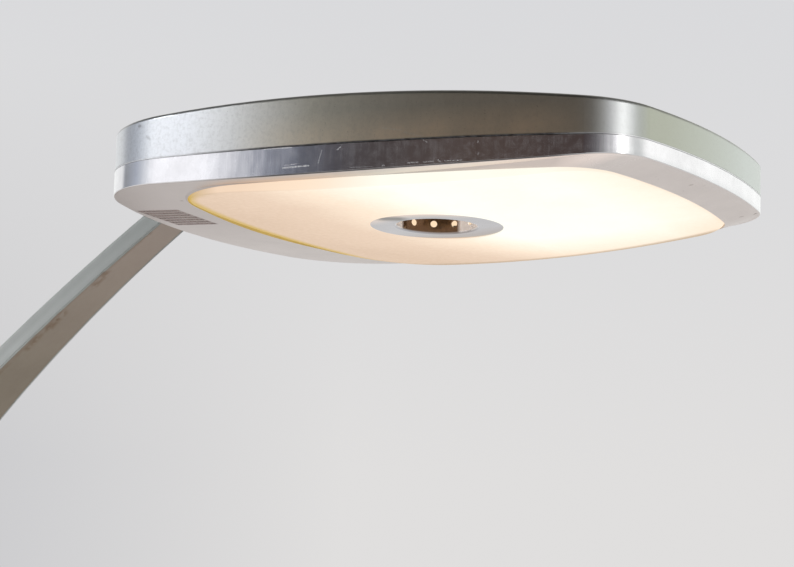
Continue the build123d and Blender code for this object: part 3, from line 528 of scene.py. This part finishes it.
def makeRimMetal(name, look, onHead):
    material, tree, shader = startMaterial(name)
    lines, smear, grain = (noise(tree, *look[key]) for key in ("lines", "smear", "grain"))
    tone = blendOf(tree, smear, lines, look["lineShare"])
    colour = twoTone(tree, tone, look["dull"], look["bright"], look["stops"])
    rough = remap(tree, tone, *look["rough"])
    metallic, height = 1.0, lines
    if onHead:
        colour, rough, metallic, height = ageRim(tree, look, colour, rough, lines, smear, grain)
    dress(tree, shader, {"Base Color": colour, "Roughness": rough, "Metallic": metallic})
    wavy = bump(tree, shader, noise(tree, *look["waves"]), *look["waveBump"])
    bump(tree, shader, height, look["bump"], under=wavy)
    return material


cupLook = {
    "bright": (0.55, 0.55, 0.585),
    "dull": (0.48, 0.48, 0.505),
    "stops": (0.36, 0.6),
    "smear": (0.012, 4.0),
    "turned": (0.0006, 3.0),
    "turnedShare": 0.4,
    "rough": (noiseSpan, (0.042, 0.096)),
    "bump": 0.03,
    # the flange: warm by the near edge as a painted reflection of the diffuser's glow, tarnished tan at the
    # far side, one smudge
    "warm": (0.98, 0.78, 0.64),
    "warmReach": ((30.0, 40.0), (0.0, 0.9)),
    "warmY": ((-34.0, -16.0), falling),
    "tan": (0.36, 0.295, 0.26),
    "tanY": ((12.0, 34.0), (0.0, 0.85)),
    "smudge": (0.10, 0.085, 0.07),
    "smudges": [((-19.0, -35.0, -24.0), (-11.5, -32.0, -24.1), 6.0, 1.0)],
    # the wall of the recess: painted shade in dark brown over a part of its round, and painted light from
    # its holes elsewhere, pale and glowing
    "wall": (0.98, 0.92, 0.87),
    "wallZ": ((-23.8, -22.8), rising),
    "wallReach": ((26.6, 27.6), falling),
    "brown": (0.20, 0.115, 0.06),
    "brownWay": (-0.656, 0.755),
    "brownFrom": ((16.9, 18.98), rising),
    "wallDull": (rising, (0.97, 0.45)),
    "leak": (0.17, 0.145, 0.13),
}


def makeCupChrome(look):
    material, tree, shader = startMaterial("cupChrome")
    smear, turned = (noise(tree, *look[key]) for key in ("smear", "turned"))
    where = headPlace(tree)
    at = split(tree, where)
    tone = blendOf(tree, smear, turned, look["turnedShare"])
    colour = twoTone(tree, tone, look["dull"], look["bright"], look["stops"])
    reach = reachOf(tree, at["X"], at["Y"])
    # painted reflection of the diffuser's warm glow by the near edge
    near = times(tree, remap(tree, at["Y"], *look["warmY"]), remap(tree, reach, *look["warmReach"]))
    colour = mixColour(tree, near, colour, look["warm"])
    colour = mixColour(tree, remap(tree, at["Y"], *look["tanY"]), colour, look["tan"])
    colour = mixColour(tree, strokes(tree, where, look["smudges"]), colour, look["smudge"])
    # painted shade and painted glow on the recess wall
    deep = times(tree, remap(tree, at["Z"], *look["wallZ"]), remap(tree, reach, *look["wallReach"]))
    wayX, wayY = look["brownWay"]
    side = sums(tree, "ADD", times(tree, at["X"], wayX), times(tree, at["Y"], wayY))
    shadedSide = remap(tree, side, *look["brownFrom"])
    colour = mixColour(tree, deep, colour, mixColour(tree, shadedSide, look["wall"], look["brown"]))
    leak = times(tree, deep, sums(tree, "SUBTRACT", 1.0, shadedSide))
    dull = times(tree, deep, remap(tree, shadedSide, *look["wallDull"]))
    dress(tree, shader, {
        "Base Color": colour,
        "Roughness": remap(tree, smear, *look["rough"]),
        "Metallic": sums(tree, "SUBTRACT", 1.0, dull),
        "Emission Color": mixColour(tree, leak, black, look["leak"]),
        "Emission Strength": 1.0,
    })
    bump(tree, shader, turned, look["bump"])
    return material


armLook = {
    "light": (0.56, 0.58, 0.555),
    "dark": (0.48, 0.495, 0.47),
    "cloud": (0.05, 4.0),
    "grain": (0.0005, 3.0),
    "wear": (0.004, 5.0, 0.65),
    "grainShare": 0.4,
    "rough": (noiseSpan, (0.38, 0.50)),
    "metallic": 0.12,
    "bumpWear": 0.4,
    "bump": 0.06,
    "shade": (0.33, 0.35, 0.33),  # darker near the head
    "shadeX": ((-330.0, -205.0), (0.0, 0.7)),
    # the arc's middle and inner radius, and the shade across the side face
    "arc": (582.738, -1167.4, 1400.0),
    "thick": 14.0,
    "across": [(0.05, 0.35), (0.30, 0.0), (0.55, 0.75), (0.80, 0.45), (1.0, 0.0)],
    "acrossShare": 0.5,
    "acrossDark": 0.7,
    "rust": (0.22, 0.13, 0.07),
    "rustWear": ((0.40, 0.54), (0.0, 0.9)),
    "rustRough": 0.8,
    "stains": [
        ((-251.0, -15.5, -42.7), (-260.0, -14.2, -49.4), 1.2, 0.6),
        ((-286.0, -17.0, -69.6), (-295.0, -16.2, -76.6), 1.3, 0.6),
        ((-304.0, -18.0, -84.0), (-312.0, -17.4, -90.5), 1.2, 0.6),
        ((-215.0, -14.0, -16.5), (-340.0, -19.0, -113.0), 1.0, 0.2),
    ],
}
# the cover is the arm's paint in painted shade, brown, and lighter and warmer near the head as painted warm
# light from the lamp
shadedCoverLook = {
    **armLook,
    "light": (0.295, 0.242, 0.178),
    "dark": (0.25, 0.20, 0.143),
    "metallic": 0.2,
    "shade": (0.53, 0.42, 0.355),
    "across": [(0.0, 0.0), (1.0, 0.0)],
    "stains": [
        ((-251.0, -12.5, -43.6), (-260.0, -11.5, -50.4), 3.4, 0.6),
        ((-286.0, -13.5, -70.2), (-297.0, -12.8, -78.8), 3.8, 0.75),
        ((-304.0, -15.0, -84.5), (-313.0, -14.0, -91.8), 3.2, 0.65),
        ((-215.0, -12.5, -16.8), (-340.0, -17.5, -113.5), 1.4, 0.3),
    ],
}


def makeArmPaint(name, look):
    material, tree, shader = startMaterial(name)
    cloud, grain, wear = (noise(tree, *look[key]) for key in ("cloud", "grain", "wear"))
    where = headPlace(tree)
    at = split(tree, where)
    colour = twoTone(tree, blendOf(tree, cloud, grain, look["grainShare"]), look["dark"], look["light"])
    colour = mixColour(tree, remap(tree, at["X"], *look["shadeX"]), colour, look["shade"])
    middleX, middleZ, radius = look["arc"]
    x = sums(tree, "SUBTRACT", at["X"], middleX)
    z = sums(tree, "MAXIMUM", sums(tree, "SUBTRACT", at["Z"], middleZ), 0.0)
    across = remap(tree, reachOf(tree, x, z), (radius, radius + look["thick"]))
    creased = times(tree, ramp(tree, across, greys(look["across"])), look["acrossShare"])
    colour = mixColour(tree, creased, colour, darker(look["dark"], look["acrossDark"]))
    stained = times(tree, strokes(tree, where, look["stains"]), remap(tree, wear, *look["rustWear"]))
    dress(tree, shader, {
        "Base Color": mixColour(tree, stained, colour, look["rust"]),
        "Roughness": mixValue(tree, stained, remap(tree, wear, *look["rough"]), look["rustRough"]),
        "Metallic": mixValue(tree, stained, look["metallic"], 0.0),
    })
    bump(tree, shader, blendOf(tree, grain, wear, look["bumpWear"]), look["bump"])
    return material


diffuserLook = {
    # the glow fades towards the back, the far side and the front
    "backX": ((35.0, -115.0), rising),
    "farY": ((55.0, 135.0), (0.0, 0.40)),
    "frontX": ((125.0, 180.0), (0.0, 0.25)),
    "uneven": (0.07, 2.0),
    "unevenFade": (noiseSpan, (-0.05, 0.05)),
    "colours": [
        (0.0, (1.0, 0.985, 0.87)),
        (0.34, (0.915, 0.745, 0.575)),
        (0.62, (0.735, 0.55, 0.405)),
        (1.0, (0.64, 0.465, 0.33)),
    ],
    "strength": 1.0,
    # lamp light shows at the edge, most where the face is dim
    "edge": (1.05, 0.80, 0.60),
    "edgeFacing": ((-0.995, -0.80), (0.0, 0.5)),
    "edgeFade": ((0.0, 0.4), rising),
    "opal": (0.06, 0.056, 0.05),
    "opalDark": 0.94,
    "opalCloud": (0.004, 4.0),
    "specular": 0.1,
    "rough": (noiseSpan, (0.36, 0.48)),
    "roughCloud": (0.003, 3.0),
    "grain": (0.0012, 2.0),
    "bump": 0.05,
    # painted shade at the edge: the glow falls off to amber along the back and to tan along the far side
    "amber": (0.50, 0.33, 0.07),
    "amberX": ((-112.0, -78.0), falling),
    "tan": (0.38, 0.27, 0.185),
    "tanY": ((30.0, 80.0), (0.0, 0.8)),
    "agedOpal": (0.18, 0.14, 0.06),
    "band": ((5.0, 10.5), falling),
    # arcs of the opening's outline, middle and radius, and its corner radius
    "back": (330.8, 0.0, 466.0),
    "farSide": (-77.0, -684.2, 824.1),
    "nearSide": (-77.0, 684.2, 824.1),
    "corner": 34.0,
}


# how far a point lies inside an arc of the opening's outline
def insideArc(tree, at, arc):
    x = sums(tree, "SUBTRACT", at["X"], arc[0])
    y = sums(tree, "SUBTRACT", at["Y"], arc[1])
    return sums(tree, "SUBTRACT", arc[2], reachOf(tree, x, y))


def insideOpening(tree, at, look):
    farGap, nearGap, backGap = (insideArc(tree, at, look[key]) for key in ("farSide", "nearSide", "back"))
    short = []
    for gap in (backGap, sums(tree, "MINIMUM", farGap, nearGap)):
        short.append(sums(tree, "MAXIMUM", sums(tree, "SUBTRACT", look["corner"], gap), 0.0))
    return sums(tree, "SUBTRACT", look["corner"], reachOf(tree, *short))


def makeGlow(name, look, edgeShaded):
    material, tree, shader = startMaterial(name)
    at = split(tree, headPlace(tree))
    fade = remap(tree, at["X"], *look["backX"])
    fade = sums(tree, "ADD", fade, remap(tree, at["Y"], *look["farY"]))
    fade = sums(tree, "ADD", fade, remap(tree, at["X"], *look["frontX"]))
    fade = sums(tree, "ADD", fade, remap(tree, noise(tree, *look["uneven"]), *look["unevenFade"]))
    edge = times(tree, remap(tree, facing(tree), *look["edgeFacing"]), remap(tree, fade, *look["edgeFade"]))
    colour = mixColour(tree, edge, ramp(tree, fade, look["colours"]), look["edge"])
    opalDark = darker(look["opal"], look["opalDark"])
    opal = twoTone(tree, noise(tree, *look["opalCloud"]), opalDark, look["opal"], noiseSpan)
    # painted shade where the glow falls off at the edge
    if edgeShaded:
        back = remap(tree, at["X"], *look["amberX"])
        band = remap(tree, insideOpening(tree, at, look), *look["band"])
        band = times(tree, band, sums(tree, "MAXIMUM", back, remap(tree, at["Y"], *look["tanY"])))
        colour = mixColour(tree, band, colour, mixColour(tree, back, look["tan"], look["amber"]))
        opal = mixColour(tree, band, opal, look["agedOpal"])
    dress(tree, shader, {
        "Base Color": opal,
        "Roughness": remap(tree, noise(tree, *look["roughCloud"]), *look["rough"]),
        "Specular IOR Level": look["specular"],
        "Emission Color": colour,
        "Emission Strength": look["strength"],
    })
    bump(tree, shader, noise(tree, *look["grain"]), look["bump"])
    return material


plainLook = {
    "cloud": (0.015, 4.0),
    "cloudShare": 0.5,
    "grainDetail": 3.0,
    "dark": 0.76,
    "spread": 0.06,  # of the roughness
    "bump": 0.0003,
}


def makePlain(name, colour, rough, metallic=0.0, grainSize=0.0008, depth=0.1):
    material, tree, shader = startMaterial(name)
    grain = noise(tree, grainSize, plainLook["grainDetail"])
    tone = blendOf(tree, grain, noise(tree, *plainLook["cloud"]), plainLook["cloudShare"])
    roughSpan = (rough - plainLook["spread"], rough + plainLook["spread"])
    dress(tree, shader, {
        "Base Color": twoTone(tree, tone, darker(colour, plainLook["dark"]), colour),
        "Roughness": remap(tree, tone, toneSpan, roughSpan),
        "Metallic": metallic,
    })
    bump(tree, shader, grain, depth, plainLook["bump"])
    return material


baseLook = {**headPaintLook, "light": (0.60, 0.59, 0.555), "dark": (0.53, 0.52, 0.485)}
enamelLook = {**diffuserLook, "colours": [(0.0, (1.0, 0.86, 0.62)), (1.0, (0.9, 0.66, 0.40))]}
headPaint = makeHeadPaint("headPaint", headPaintLook, True)
basePaint = makeHeadPaint("basePaint", baseLook, False)
rimMetal = makeRimMetal("rimMetal", rimLook, True)
trimMetal = makeRimMetal("trimMetal", rimLook, False)
cupChrome = makeCupChrome(cupLook)
armPaint = makeArmPaint("armPaint", armLook)
# the cover's brown is painted shade
shadedCoverPaint = makeArmPaint("shadedCoverPaint", shadedCoverLook)
opalGlow = makeGlow("opalGlow", diffuserLook, True)
lampGlow = makeGlow("lampGlow", {**diffuserLook, "strength": 4.0}, False)
# the reflector glows warm as painted light from the bulbs
enamelPaintedGlow = makeGlow("enamelPaintedGlow", enamelLook, False)
plainSteel = makePlain("plainSteel", (0.60, 0.60, 0.60), rough=0.28, metallic=1.0)
hingeMetal = makePlain("hingeMetal", (0.62, 0.615, 0.59), rough=0.34, metallic=0.95)
brassNut = makePlain("brassNut", (0.76, 0.66, 0.46), rough=0.24, metallic=1.0)
blackRubber = makePlain("blackRubber", (0.05, 0.05, 0.052), rough=0.62, grainSize=0.0006, depth=0.25)
blackPlastic = makePlain("blackPlastic", (0.055, 0.055, 0.058), rough=0.36, grainSize=0.0005, depth=0.2)
greyFelt = makePlain("greyFelt", (0.19, 0.19, 0.195), rough=0.92, grainSize=0.0012, depth=0.8)
castIron = makePlain("castIron", (0.14, 0.14, 0.14), rough=0.62, metallic=0.6, grainSize=0.002, depth=0.5)
palePlastic = makePlain("palePlastic", (0.8, 0.78, 0.72), rough=0.42)

finishes = {
    headPaint: ["head_shell"],
    basePaint: ["base_cover"],
    rimMetal: ["rim_frame"],
    trimMetal: ["base_trim", "switch_bezel"],
    opalGlow: ["diffuser"],
    cupChrome: ["vent_cup"],
    brassNut: ["cup_nut"],
    enamelPaintedGlow: ["reflector"],
    lampGlow: ["bulb_left", "bulb_right"],
    armPaint: ["arm_channel"],
    shadedCoverPaint: ["arm_cover"],
    hingeMetal: ["hinge_bracket", "arm_knuckle"],
    plainSteel: [
        "centre_stud", "holder_bracket", "backing_plate", "bracket_screws", "hinge_pin", "hinge_nut",
        "arm_foot", "foot_bolts", "tang_screws", "base_plate", "plate_screws", "rim_clips",
    ],
    blackRubber: ["arm_collar", "cord_bush", "arm_lead"],
    blackPlastic: ["switch_button", "switch_body", "lamp_holder_left", "lamp_holder_right"],
    palePlastic: ["terminal_block", "friction_washers"],
    castIron: ["base_weight"],
    greyFelt: ["felt_pad"],
}
for material, names in finishes.items():
    for name in names:
        coat(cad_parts[name].data, material)
print("finishes on the solids")

flatShare = 0.9  # how far up or down a face looks to count as flat
slotShare = 0.80  # how far a slot goes across a head
screwSides = 40
smoothAngle = math.radians(35)
bevelAngle = math.radians(40)


def facesUp(at, normal):
    return normal.z > flatShare


def facesDown(at, normal):
    return normal.z < -flatShare


def pickFaces(piece, test):
    bpy.ops.mesh.select_mode(type="FACE")
    bpy.ops.mesh.select_all(action="DESELECT")
    mesh = bmesh.from_edit_mesh(piece.data)
    for face in mesh.faces:
        face.select_set(test(face.calc_center_median(), face.normal))
    bmesh.update_edit_mesh(piece.data)


def startRound(name, sides, radius, low, high):
    bpy.ops.object.select_all(action="DESELECT")
    middle = (0, 0, (low + high) / 2)
    bpy.ops.mesh.primitive_cylinder_add(vertices=sides, radius=radius, depth=high - low, location=middle)
    piece = bpy.context.object
    piece.name = name
    bpy.ops.object.transform_apply(location=True, rotation=True, scale=True)
    return piece


def push(distance):
    bpy.ops.mesh.extrude_region_move(TRANSFORM_OT_translate={"value": (0, 0, distance)})


def roundEdges(piece, width, segments=2):
    edge = piece.modifiers.new("edge", "BEVEL")
    edge.width, edge.segments = width, segments
    edge.limit_method, edge.angle_limit = "ANGLE", bevelAngle
    bpy.ops.object.modifier_apply(modifier=edge.name)
    bpy.ops.object.shade_smooth_by_angle(angle=smoothAngle)


# a screw along +z: its head stands on z = 0 and its shank goes down
def makeScrew(name, size):
    piece = startRound(name, screwSides, size["headRadius"], 0.0, size["headHeight"])
    bpy.ops.object.mode_set(mode="EDIT")
    pickFaces(piece, facesDown)
    if size.get("sunk"):
        share = size["radius"] / size["headRadius"]
        bpy.ops.transform.resize(value=(share, share, 1.0))
    else:
        bpy.ops.mesh.inset(thickness=size["headRadius"] - size["radius"])
    push(-size["length"])
    slotHalf, slotReach = size["slot"] / 2, size["headRadius"] * slotShare
    for plane, cut in (((1, 0, 0), slotHalf), ((0, 1, 0), slotReach)):
        for side in (-1, 1):
            bpy.ops.mesh.select_all(action="SELECT")
            bpy.ops.mesh.bisect(plane_co=Vector(plane) * cut * side, plane_no=plane)

    def inSlot(at, normal):
        return facesUp(at, normal) and abs(at.x) < slotHalf and abs(at.y) < slotReach

    pickFaces(piece, inSlot)
    push(-size["slotDepth"])
    bpy.ops.object.mode_set(mode="OBJECT")
    roundEdges(piece, size["edge"])
    return piece


def putCopies(master, places, material, node, body):
    stem = master.name
    for index, matrix in enumerate(places):
        piece = master if index == len(places) - 1 else master.copy()
        if piece is not master:
            piece.data = master.data.copy()
            addToScene(piece)
        piece.name = stem if len(places) == 1 else f"{stem}{index + 1}"
        piece.data.transform(matrix)
        coat(piece.data, material)
        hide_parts(node)
        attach(piece, body)


# what closes the parting line between rim and shell, raised from the rim's upper edge
seamStrip = {
    "rise": 0.0006,
    "proud": 0.00028,
    "level": 0.00005,  # how near to the rim's upper edge a face lies
    "wallShare": 0.3,  # how far up or down a wall may look
    "middle": 0.01,  # from the head's own frame to the middle of the strip
    "weld": 0.000001,
    "clean": (0.86, 0.865, 0.865),
    "soil": (0.03, 0.027, 0.026),
    "metallic": ((0.0, 0.6), (0.95, 0.0)),  # less where shade is painted
    "rough": (noiseSpan, (0.32, 0.52)),
    "dust": (0.003, 4.0),
    "dustShare": (toneSpan, (0.85, 1.0)),
    "grain": (0.0006, 3.0),
}


def makeSeamFinish(look):
    material, tree, shader = startMaterial("seamFinish")
    at = split(tree, headPlace(tree))
    # painted shade along the middle of the sides, pale metal at the ends
    soil = times(tree, partingShaded(tree, at), remap(tree, noise(tree, *look["dust"]), *look["dustShare"]))
    dress(tree, shader, {
        "Base Color": mixColour(tree, soil, look["clean"], look["soil"]),
        "Metallic": remap(tree, soil, *look["metallic"]),
        "Roughness": remap(tree, noise(tree, *look["grain"]), *look["rough"]),
    })
    return material


def makeSeam(size):
    piece = bpy.data.objects.new("seamStrip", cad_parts["rim_frame"].data.copy())
    addToScene(piece)
    bpy.ops.object.select_all(action="DESELECT")
    bpy.context.view_layer.objects.active = piece
    piece.select_set(True)
    bpy.ops.object.mode_set(mode="EDIT")
    bpy.ops.mesh.select_all(action="SELECT")
    bpy.ops.mesh.remove_doubles(threshold=size["weld"])
    top = headAt.z - partingHalf
    pickFaces(piece, lambda at, normal: normal.z < flatShare or abs(at.z - top) > size["level"])
    bpy.ops.mesh.delete(type="FACE")
    bpy.ops.mesh.select_all(action="SELECT")
    bpy.ops.mesh.normals_make_consistent(inside=False)
    push(size["rise"])
    bpy.ops.mesh.select_all(action="SELECT")
    bpy.ops.mesh.normals_make_consistent(inside=False)
    middle = headAt.x + size["middle"]

    def outerWall(at, normal):
        return abs(normal.z) < size["wallShare"] and normal.x * (at.x - middle) + normal.y * at.y > 0

    pickFaces(piece, outerWall)
    bpy.ops.transform.shrink_fatten(value=size["proud"])
    bpy.ops.object.mode_set(mode="OBJECT")
    bpy.ops.object.shade_smooth_by_angle(angle=smoothAngle)
    coat(piece.data, makeSeamFinish(size))
    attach(piece, "head")
    print("seam strip:", len(piece.data.polygons), "faces")


makeSeam(seamStrip)

turnBack = Matrix.Rotation(math.radians(-90), 4, "Y")  # head towards the back
turnSide = Matrix.Rotation(math.radians(90), 4, "X")  # head towards -y


# seats for two screws side by side, heads towards the back
def pairSeats(low, high, headHeight, apart):
    x, z = low[0] + headHeight, (low[2] + high[2]) / 2
    return [Matrix.Translation((x, side * apart, z)) @ turnBack for side in (-1, 1)]


bracketScrew = {
    "radius": 0.002,
    "length": 0.0087,
    "headRadius": 0.0038,
    "headHeight": 0.0024,
    "slot": 0.0009,
    "slotDepth": 0.0011,
    "edge": 0.0004,
    "apart": 0.024,
}
low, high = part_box("bracket_screws")
seats = pairSeats(low, high, bracketScrew["headHeight"], bracketScrew["apart"])
putCopies(makeScrew("bracketScrew", bracketScrew), seats, plainSteel, "bracket_screws", "head")

hingePin = {
    "radius": 0.004,
    "length": 0.0392,
    "headRadius": 0.007,
    "headHeight": 0.004,
    "slot": 0.0014,
    "slotDepth": 0.0018,
    "edge": 0.0008,
}
low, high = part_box("hinge_pin")
pinAt = ((low[0] + high[0]) / 2, low[1] + hingePin["headHeight"], (low[2] + high[2]) / 2)
seat = Matrix.Translation(pinAt) @ turnSide
putCopies(makeScrew("hingePin", hingePin), [seat], plainSteel, "hinge_pin", "head")

tangScrew = {
    "radius": 0.0025,
    "length": 0.0095,
    "headRadius": 0.0045,
    "headHeight": 0.002,
    "slot": 0.0011,
    "slotDepth": 0.0008,
    "edge": 0.0002,
    "sunk": True,
}
low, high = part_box("tang_screws")
seats = pairSeats(low, high, tangScrew["headHeight"], high[1] - tangScrew["headRadius"])
putCopies(makeScrew("tangScrew", tangScrew), seats, plainSteel, "tang_screws", "stand")
print("slotted screws and hinge pin")

footButton = {
    "sides": 64,
    "radius": 0.0105,
    "rings": 3,
    "ringWidth": 0.0014,
    "ringDepth": 0.0005,
    "landWidth": 0.00098,
    "shoulder": 0.0016,
    "stem": 0.004,
    "stemLength": 0.009,
    "edge": 0.00021,
}


def makeButton(size):
    low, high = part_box("switch_button")
    bottom, top = low[2] + size["stemLength"], high[2]
    piece = startRound("footButton", size["sides"], size["radius"], bottom, top)
    bpy.ops.object.mode_set(mode="EDIT")
    pickFaces(piece, facesDown)
    bpy.ops.mesh.inset(thickness=size["radius"] - size["stem"])
    push(low[2] - bottom)
    pickFaces(piece, facesUp)
    bpy.ops.mesh.inset(thickness=size["shoulder"])
    for ring in range(size["rings"]):  # grip rings, cut down and brought up again
        push(-size["ringDepth"])
        bpy.ops.mesh.inset(thickness=size["ringWidth"])
        push(size["ringDepth"])
        bpy.ops.mesh.inset(thickness=size["landWidth"])
    bpy.ops.object.mode_set(mode="OBJECT")
    roundEdges(piece, size["edge"])
    return piece, Matrix.Translation(((low[0] + high[0]) / 2, 0.0, 0.0))


button, buttonSeat = makeButton(footButton)
putCopies(button, [buttonSeat], blackPlastic, "switch_button", "button")
print("foot button")

floorLook = {
    "size": 30.0,
    "at": (0.4, 0.0, 0.0),
    "light": (0.70, 0.70, 0.71),
    "dark": (0.66, 0.66, 0.67),
    "cloud": (0.8, 3.0),
    "rough": 0.8,
    "mirrored": (0.80, 0.79, 0.78),
    "paler": 0.45,
}


def makeFloor(look):
    bpy.ops.object.select_all(action="DESELECT")
    bpy.ops.mesh.primitive_plane_add(size=look["size"], location=look["at"])
    floor = bpy.context.object
    floor.name = "floor"
    material, tree, shader = startMaterial("paleFloor")
    colour = twoTone(tree, noise(tree, *look["cloud"]), look["dark"], look["light"], noiseSpan)
    dress(tree, shader, {"Base Color": colour, "Roughness": look["rough"]})
    # metal sees the pale floor, without the room's shade on it
    pale = addNode(tree, "ShaderNodeEmission", Color=(*look["mirrored"], 1.0))
    path = addNode(tree, "ShaderNodeLightPath").outputs
    bright = sums(tree, "MAXIMUM", path["Is Glossy Ray"], times(tree, path["Is Camera Ray"], look["paler"]))
    both = addNode(tree, "ShaderNodeMixShader", {0: bright, 1: shader.outputs[0], 2: pale.outputs[0]})
    tree.links.new(both.outputs[0], tree.nodes["Material Output"].inputs["Surface"])
    floor.data.materials.append(material)


studio = {
    # the wall that the camera sees, with a shaded corner
    "top": (0.69, 0.695, 0.715),
    "low": (0.745, 0.735, 0.73),
    "wallUp": ((0.09, 0.30), rising),
    "corner": (0.60, 0.60, 0.615),
    "cornerRound": ((0.835, 0.858), rising),
    "cornerUp": ((0.09, 0.24), falling),
    # colours round the room that the lamp mirrors, from the back by the camera's side to the front and on
    "round": [
        (0.00, (0.33, 0.345, 0.37)), (0.06, (0.43, 0.465, 0.54)), (0.10, (0.70, 0.73, 0.78)),
        (0.13, (1.10, 1.11, 1.15)), (0.158, (1.12, 1.13, 1.17)), (0.178, (0.26, 0.28, 0.34)),
        (0.19, (0.10, 0.105, 0.13)), (0.205, (0.078, 0.068, 0.070)), (0.24, (0.086, 0.063, 0.055)),
        (0.28, (0.060, 0.046, 0.046)), (0.325, (0.13, 0.122, 0.13)), (0.375, (0.40, 0.40, 0.41)),
        (0.388, (0.80, 0.80, 0.82)), (0.400, (0.42, 0.42, 0.43)), (0.412, (0.90, 0.90, 0.92)),
        (0.422, (0.80, 0.80, 0.82)), (0.443, (1.70, 1.70, 1.70)), (0.466, (1.70, 1.70, 1.70)),
        (0.488, (1.20, 1.22, 1.20)), (0.506, (0.82, 0.84, 0.83)), (0.525, (0.66, 0.68, 0.675)),
        (0.56, (0.74, 0.76, 0.75)), (0.60, (1.12, 1.13, 1.12)), (0.78, (1.06, 1.08, 1.06)),
        (0.975, (0.88, 0.89, 0.90)), (0.992, (0.40, 0.42, 0.46)), (1.00, (0.33, 0.345, 0.37)),
    ],
    "upwards": [(0.0, 0.95), (0.22, 1.0), (0.44, 1.0), (0.62, 0.36), (1.0, 0.30)],
    "peak": 1.7,
    # a tall window at the left, above what the rim mirrors
    "window": (0.92, 0.96, 1.0),
    "windowRound": [(0.05, 0.0), (0.10, 0.55), (0.15, 1.0), (0.178, 0.0)],
    "windowUp": [(0.25, 0.0), (0.34, 1.0), (0.46, 1.0), (0.56, 0.0)],
    "windowStrength": 3.0,
}


def makeWorld(look):
    world = bpy.data.worlds.new("studioWorld")
    bpy.context.scene.world = world
    world.use_nodes = True
    tree = world.node_tree
    tree.nodes.clear()
    output = tree.nodes.new("ShaderNodeOutputWorld")
    coords = addNode(tree, "ShaderNodeTexCoord")
    at = split(tree, coords.outputs["Generated"])
    turn = remap(tree, sums(tree, "ARCTAN2", at["Y"], at["X"]), (-math.pi, math.pi))
    peak = look["peak"]  # a ramp holds colours up to 1
    colour = ramp(tree, turn, [(stop, darker(shade, 1 / peak)) for stop, shade in look["round"]])
    rise = times(tree, ramp(tree, at["Z"], greys(look["upwards"], 1 / peak)), peak * peak)
    room = addNode(tree, "ShaderNodeBackground", {"Color": colour, "Strength": rise})
    pane = times(
        tree,
        ramp(tree, turn, greys(look["windowRound"])),
        ramp(tree, at["Z"], greys(look["windowUp"])),
        look["windowStrength"],
    )
    window = addNode(tree, "ShaderNodeBackground", {"Strength": pane}, Color=(*look["window"], 1.0))
    room = addNode(tree, "ShaderNodeAddShader", {0: room.outputs[0], 1: window.outputs[0]})
    shade = twoTone(tree, remap(tree, at["Z"], *look["wallUp"]), look["low"], look["top"], rising)
    corner = times(tree, remap(tree, turn, *look["cornerRound"]), remap(tree, at["Z"], *look["cornerUp"]))
    wallColour = mixColour(tree, corner, shade, look["corner"])
    wall = addNode(tree, "ShaderNodeBackground", {"Color": wallColour})
    path = addNode(tree, "ShaderNodeLightPath").outputs
    seen = sums(tree, "MAXIMUM", path["Is Camera Ray"], path["Is Transmission Ray"])
    both = addNode(tree, "ShaderNodeMixShader", {0: seen, 1: room.outputs[0], 2: wall.outputs[0]})
    tree.links.new(both.outputs[0], output.inputs["Surface"])


lights = [
    {
        "name": "leftSoftbox",
        "at": (-1.14, -1.46, 2.46),
        "aim": (0.7, 0.0, 1.4),
        "size": (0.9, 1.0),
        "power": 17.0,
        "mirrored": False,
    },
    {
        "name": "rightStrip",
        "at": (3.1, -0.75, 1.75),
        "aim": (0.7, 0.0, 1.4),
        "size": (0.35, 1.6),
        "power": 5.0,
        "mirrored": True,
    },
    {
        "name": "topSoftbox",
        "at": (0.5, 0.4, 3.6),
        "aim": (0.5, 0.0, 1.0),
        "size": (2.0, 2.0),
        "power": 30.0,
        "mirrored": False,
    },
]


def makeLight(look):
    data = bpy.data.lights.new(look["name"], "AREA")
    data.shape = "RECTANGLE"
    data.size, data.size_y = look["size"]
    data.energy = look["power"]
    light = bpy.data.objects.new(look["name"], data)
    addToScene(light)
    light.location = look["at"]
    light.rotation_euler = (Vector(look["aim"]) - Vector(look["at"])).to_track_quat("-Z", "Y").to_euler()
    light.visible_camera = False
    light.visible_glossy = look["mirrored"]


makeFloor(floorLook)
makeWorld(studio)
for look in lights:
    makeLight(look)

cameraView = {
    "lens": 117.52,
    "sensor": 36.0,
    "clip": (0.05, 100.0),
    "from": (0.788303, -1.442501, -0.330590),  # metres from the head's own frame
    "right": (0.872218, 0.488244, 0.029222),
    "down": (-0.053629, 0.154848, -0.986482),
}


def makeCamera(view):
    data = bpy.data.cameras.new("photoCamera")
    data.sensor_width = view["sensor"]
    data.lens = view["lens"]
    data.clip_start, data.clip_end = view["clip"]
    camera = bpy.data.objects.new("photoCamera", data)
    addToScene(camera)
    right, up = Vector(view["right"]), -Vector(view["down"])
    turn = Matrix((right, up, right.cross(up))).transposed().to_4x4()
    camera.matrix_world = Matrix.Translation(headAt + Vector(view["from"])) @ turn
    bpy.context.scene.camera = camera


makeCamera(cameraView)
bpy.context.scene.view_settings.view_transform = "Standard"
print("stage, light and camera ready")
